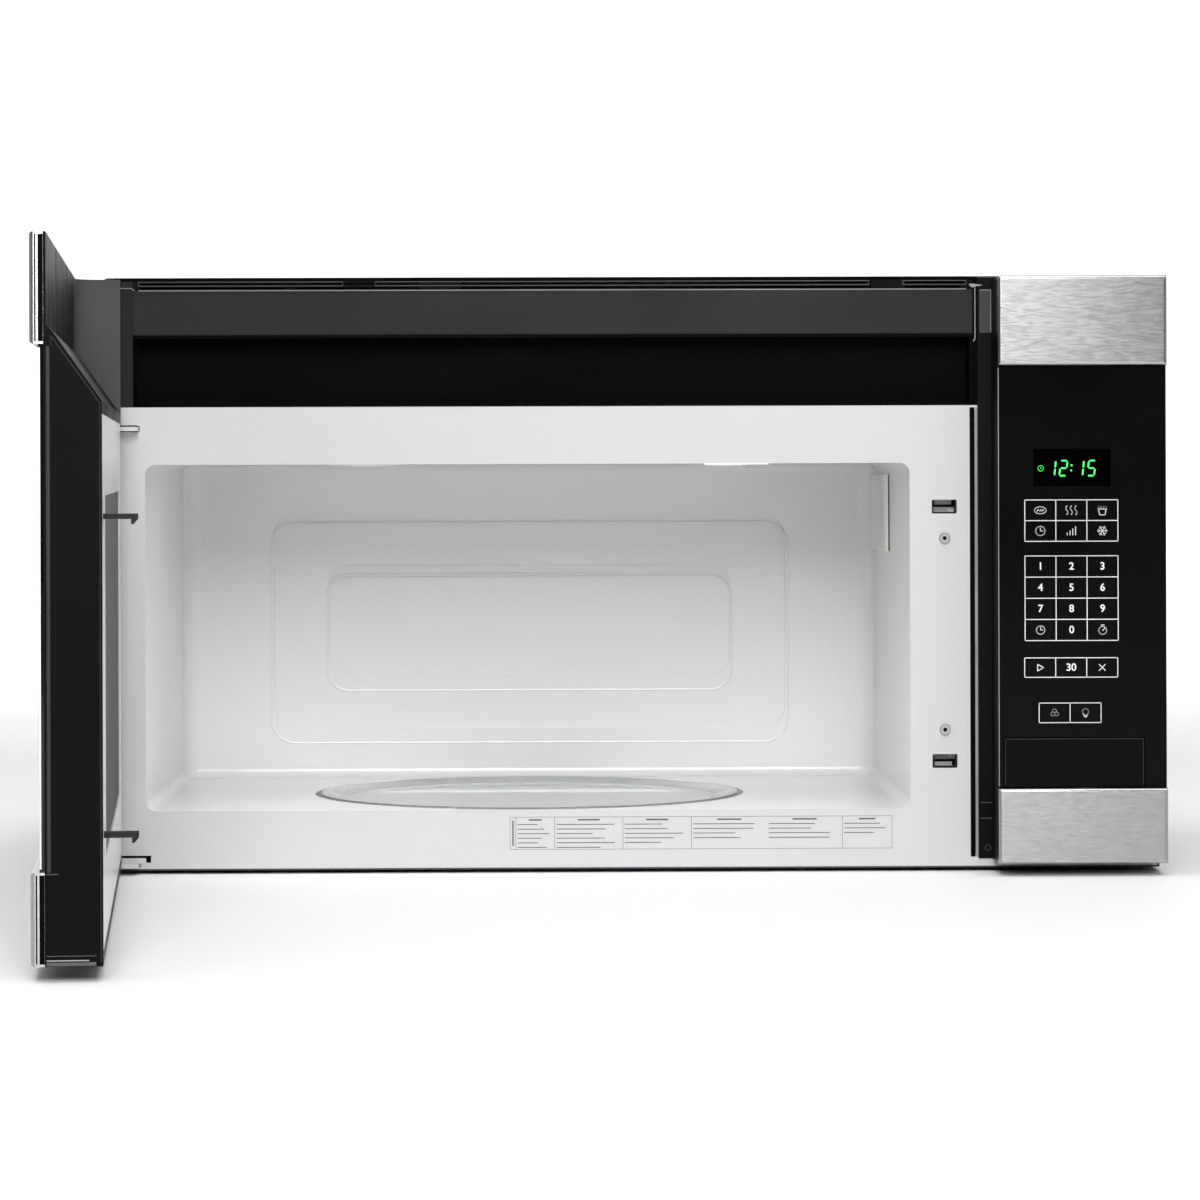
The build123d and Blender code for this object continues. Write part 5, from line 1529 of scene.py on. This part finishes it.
@dataclass
class FrameTrim(Trim):
    """What shows in the front frame's slots and on its screws, with painted shade in slots, groove and
    sockets and painted highlights on edges and rims.

    Attributes:
        shadows: dark corners seen through the latch slots, on the slider.
        tabs: pale tabs seen through them.
        slots: painted shade in the slots of the hinge plates.
        leaves: ends of the hinge plates in them.
        groove: painted shade in the groove beside the frame.
        strip: painted highlight on the strip beside the groove.
        lines: painted highlights along lines across the bezel's flange.
        screws: places of the screws, as x, front and z, with their radius.
        socket: a socket's radius and lobes, as shares of the screw's radius and of its own.
        lobes: number of the lobes.
        sink: how far the socket's print stands proud.
        ring: radius and depth of the painted highlight ring round a screw of the frame.
        flange: the last of the screws, which has no ring.
    """

    shadows: Fitting = Fitting("latch_shadows", "painted shade", "white_plastic", slabs=(
        ((211.0, -336.54, 46.6), (239.0, -336.5, 54.5)),
        ((211.0, -336.54, -143.8), (239.0, -336.5, -135.9)),
    ), body="slider")
    tabs: Fitting = Fitting("latch_tabs", "pale part", "white_plastic", slabs=(
        ((229.0, -336.55, 40.0), (239.0, -336.5, 45.4)),
        ((219.0, -336.58, 48.4), (231.5, -336.5, 54.5)),
        ((229.0, -336.55, -134.7), (239.0, -336.5, -129.3)),
        ((219.0, -336.58, -143.8), (231.5, -336.5, -137.7)),
    ), body="slider")
    # painted shade in the slots of the hinge plates
    slots: Fitting = Fitting("hinge_slot_shade", "painted shade", "frame_enamel", -352.0, plates=(
        Plate(((-372.0, 102.3), (-355.3, 102.3), (-355.3, 107.2), (-372.0, 107.2)), 0.06),
        Plate(((-372.0, -207.2), (-346.6, -207.2), (-346.6, -202.2), (-372.0, -202.2)), 0.06),
    ))
    leaves: Fitting = Fitting("hinge_leaves", "hinge_upper", "zinc_steel", -352.0, plates=(
        Plate(((-372, 103.2), (-360.7, 103.2), (-358.7, 104), (-358.7, 105.5), (-372, 105.5)), 0.44, 0.06),
        Plate(((-372, -208.2), (-352, -208.2), (-350, -207.4), (-350, -203.9), (-372, -203.9)), 0.44, 0.06),
    ), bevel=0.2)
    # painted shade in the groove beside the frame
    groove: Fitting = Fitting("frame_groove_shade", "painted shade", "frame_enamel", slabs=(
        ((243.4, -352.07, -205.3), (246.8, -352.0, 118.5)),
    ))
    # painted highlight on the strip beside the groove
    strip: Fitting = Fitting("frame_strip_highlight", "painted highlight", "frame_enamel", slabs=(
        ((247.0, -352.1, -205.3), (249.3, -352.0, 118.5)),
    ))
    # painted highlights along the lines across the bezel's flange
    lines: Fitting = Fitting("flange_line_highlights", "painted dim highlight", "black_plastic", -354.5, (
        Bead(((250.3, -166.2), (258.8, -166.2)), 0.5, 0.1),
        Bead(((250.3, -177.4), (258.8, -177.4)), 0.5, 0.1),
    ))
    screws: tuple[tuple[Place, float], ...] = (((225.0, -354.2, 24.3), 4.0), ((225.0, -354.2, -113.6), 4.0))
    flange: tuple[Place, float] = ((255.4, -355.0, -198.5), 2.8)
    socket: Flat = (0.36, 0.13)
    lobes: int = 6
    sink: float = 0.06
    ring: tuple[Flat, ...] = ((0.99, -0.15), (0.99, 0.0), (0.88, 0.12), (0.76, 0.0), (0.76, -0.15))

    def build(self) -> None:
        """Make the fittings, then the screws' sockets in painted shade and their rims in painted highlight.
        """
        super().build()
        size, lobe = self.socket
        # painted shade: a thin dark lobed print on each head stands for its socket's shade
        with self.piece(Fitting("screw_socket_shade", "painted shade", "screw_steel")) as sockets:
            for place, radius in (*self.screws, self.flange):

                def star(angle: float, inner: float = size * radius) -> float:
                    """Radius of the lobed socket at an angle."""
                    return inner * (1 + lobe * math.cos(self.lobes * angle))

                sockets.turned(place, [(star, 0.0), (star, self.sink)])
        # painted highlight: a light ring round each frame screw
        with self.piece(Fitting("screw_rim_highlights", "painted highlight", "screw_steel")) as rims:
            for place, radius in self.screws:
                rims.turned(place, [(radius * share, depth) for share, depth in self.ring])


@dataclass
class PanelTrim(Trim):
    """Fine edges of the overlay and the release button, two of them painted highlights.

    Attributes:
        edge: painted highlight along the overlay's left edge.
        lines: its upright moulded line.
        rim: painted faint highlight along the button's rim.
    """

    # painted highlight along the overlay's left edge
    edge: Fitting = Fitting("panel_edge_highlight", "painted highlight", "gloss_black", -393.0, (
        Bead(((259.75, -151.5), (259.75, 146.0)), 0.6, 0.12),
    ))
    lines: Fitting = Fitting("panel_lines", "gloss_black", "gloss_black", -393.0, (
        Bead(((363.8, -117.0), (363.8, 142.0)), 0.4, 0.02),
    ))
    # painted faint highlight along the button's rim
    rim: Fitting = Fitting("button_rim_highlight", "painted faint highlight", "button_black", -393.0, (
        Bead(((264.2, -150.6), (264.2, -118.1), (362.4, -118.1), (362.4, -150.6)), 0.5, 0.06),
    ), body="button")


@dataclass
class OvenTrim(Trim):
    """Lamp holes and pads on the oven's ceiling, rims on its rear wall.

    Attributes:
        edge: painted shade along the front edge of the waveguide cover.
        middle: middle of the rear wall, as x and z.
        steps: width, height, corner and depth of each stamped step.
        rolled: width and height of a step's rim.
        ceiling: height of the ceiling.
        holes: lamp holes across and in depth.
        first: place of the first hole, as x and y.
        pitch: spacing of the holes, and of their rows as a share of it.
        hole: radius of a hole.
        lens: how far its light hangs down.
        pads: middle, half widths and drop of each pressed pad.
    """

    # painted shade along the front edge of the waveguide cover
    edge: Fitting = Fitting("waveguide_cover_edge_shade", "painted shade", "guide_mica", -184.0, (
        Bead(((198.8, 12.0), (198.8, 69.0)), 1.0, 0.15),
    ))
    middle: Flat = (-75.0, -55.9)
    steps: tuple[Bounds, ...] = ((412.0, 175.0, 19.0, -17.0), (323.0, 92.0, 16.5, -14.0))
    rolled: Flat = (1.7, 0.7)
    ceiling: float = 78.6
    holes: tuple[int, int] = (10, 4)
    first: Flat = (54.0, -343.0)
    pitch: Flat = (4.6, 0.8)
    hole: float = 1.1
    lens: float = 0.9
    pads: tuple[tuple[Flat, Flat, float], ...] = (
        ((-194.0, -322.0), (27.0, 16.0), 1.6),
        ((68.0, -322.0), (17.0, 12.0), 2.4),
    )

    def build(self) -> None:
        """Make the cover's edge, the rims, the holes and the pads."""
        super().build()
        with self.piece(Fitting("rear_wall_rims", "oven_enamel", "oven_enamel")) as rims:
            for width, height, corner, depth in self.steps:
                rims.bead(Bead(self.rounded(width, height, corner), *self.rolled), depth)
        with self.piece(Fitting("lamp_holes", "lamp light", "oven_enamel")) as holes:
            pitch, share = self.pitch
            for column, row in product(*(range(count) for count in self.holes)):
                x = self.first[0] + pitch * (column + 0.5 * (row % 2))
                spot = (x, self.first[1] + pitch * share * row, self.ceiling)
                holes.dome(spot, (self.hole, self.hole), self.lens, steps=10, rings=3)
        with self.piece(Fitting("ceiling_pads", "oven_enamel", "oven_enamel")) as pads:
            for middle, reach, drop in self.pads:
                pads.dome((*middle, self.ceiling), reach, drop, steps=40, rings=6)

    def rounded(self, width: float, height: float, corner: float) -> tuple[Flat, ...]:
        """Outline a rounded rectangle on the rear wall.

        Args:
            width: its width.
            height: its height.
            corner: its corner radius.

        Returns:
            The points, with the first one again at the end.
        """
        east, north = width / 2 - corner, height / 2 - corner
        path = []
        for turn, way, rise in ((0, 1, 1), (90, -1, 1), (180, -1, -1), (270, 1, -1)):
            centre = (self.middle[0] + way * east, self.middle[1] + rise * north)
            path += arc(centre, corner, turn, turn + 90, steps=8)
        return (*path, path[0])


@dataclass
class Underside(Trim):
    """Screws and pressed ribs under the case.

    Attributes:
        ribs: the pressed ribs.
        plate: the underside's height.
        screws: places of the screws, as x and y.
        radius: radius of a screw head.
        drop: how far a head hangs down.
        cross: half length and half width of the cross in a head, drawn as painted shade.
        sunk: heights that the cross lies between, under the plate.
    """

    ribs: Fitting = Fitting("base_ribs", "case_black", "case_black", -213.0, (
        Bead(((-330.0, -235.0), (60.0, -235.0)), 8.0, 1.2),
        Bead(((-330.0, -262.0), (60.0, -262.0)), 8.0, 1.2),
        Bead(((230.0, -80.0), (340.0, -80.0)), 8.0, 1.2),
        Bead(((230.0, -110.0), (340.0, -110.0)), 8.0, 1.2),
    ), side=Side.BELOW)
    plate: float = -213.0
    screws: tuple[Flat, ...] = (
        (-368, -342), (-120, -344), (120, -344), (368, -342), (-368, -18), (0, -14), (368, -18), (368, -180),
        (-368, -180),
    )
    radius: float = 3.6
    drop: float = 1.4
    cross: Flat = (1.9, 0.35)
    sunk: Flat = (1.5, 1.2)

    def build(self) -> None:
        """Make the ribs, the screws and the painted shade of their crosses."""
        super().build()
        with self.piece(Fitting("base_screws", "screw_steel", "screw_steel")) as heads:
            for x, y in self.screws:
                heads.dome((x, y, self.plate), (self.radius, self.radius), self.drop, steps=28, rings=4)
        low, high = (self.plate - depth for depth in self.sunk)
        # painted shade: a dark cross in each head stands for its recess's shade
        with self.piece(Fitting("base_screw_slot_shade", "painted shade", "screw_steel")) as slots:
            for (x, y), (wide, deep) in product(self.screws, (self.cross, self.cross[::-1])):
                slots.slab((x - wide, y - deep, low), (x + wide, y + deep, high))


def main() -> None:
    """Build every class in order and report each piece."""
    logging.basicConfig(level=logging.INFO, format="%(name)s: %(message)s")
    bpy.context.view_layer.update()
    Camera().build()
    Studio().build()
    palette = Palette()
    palette.dress_nodes()
    parts = (ControlPanel, Clock, GuideCard, VentTrim, DoorTrim, FrameTrim, PanelTrim, OvenTrim, Underside)
    for part in parts:
        part(palette).build()
        LOG.info("%s built", part.__name__)


if __name__ == "__main__":
    main()
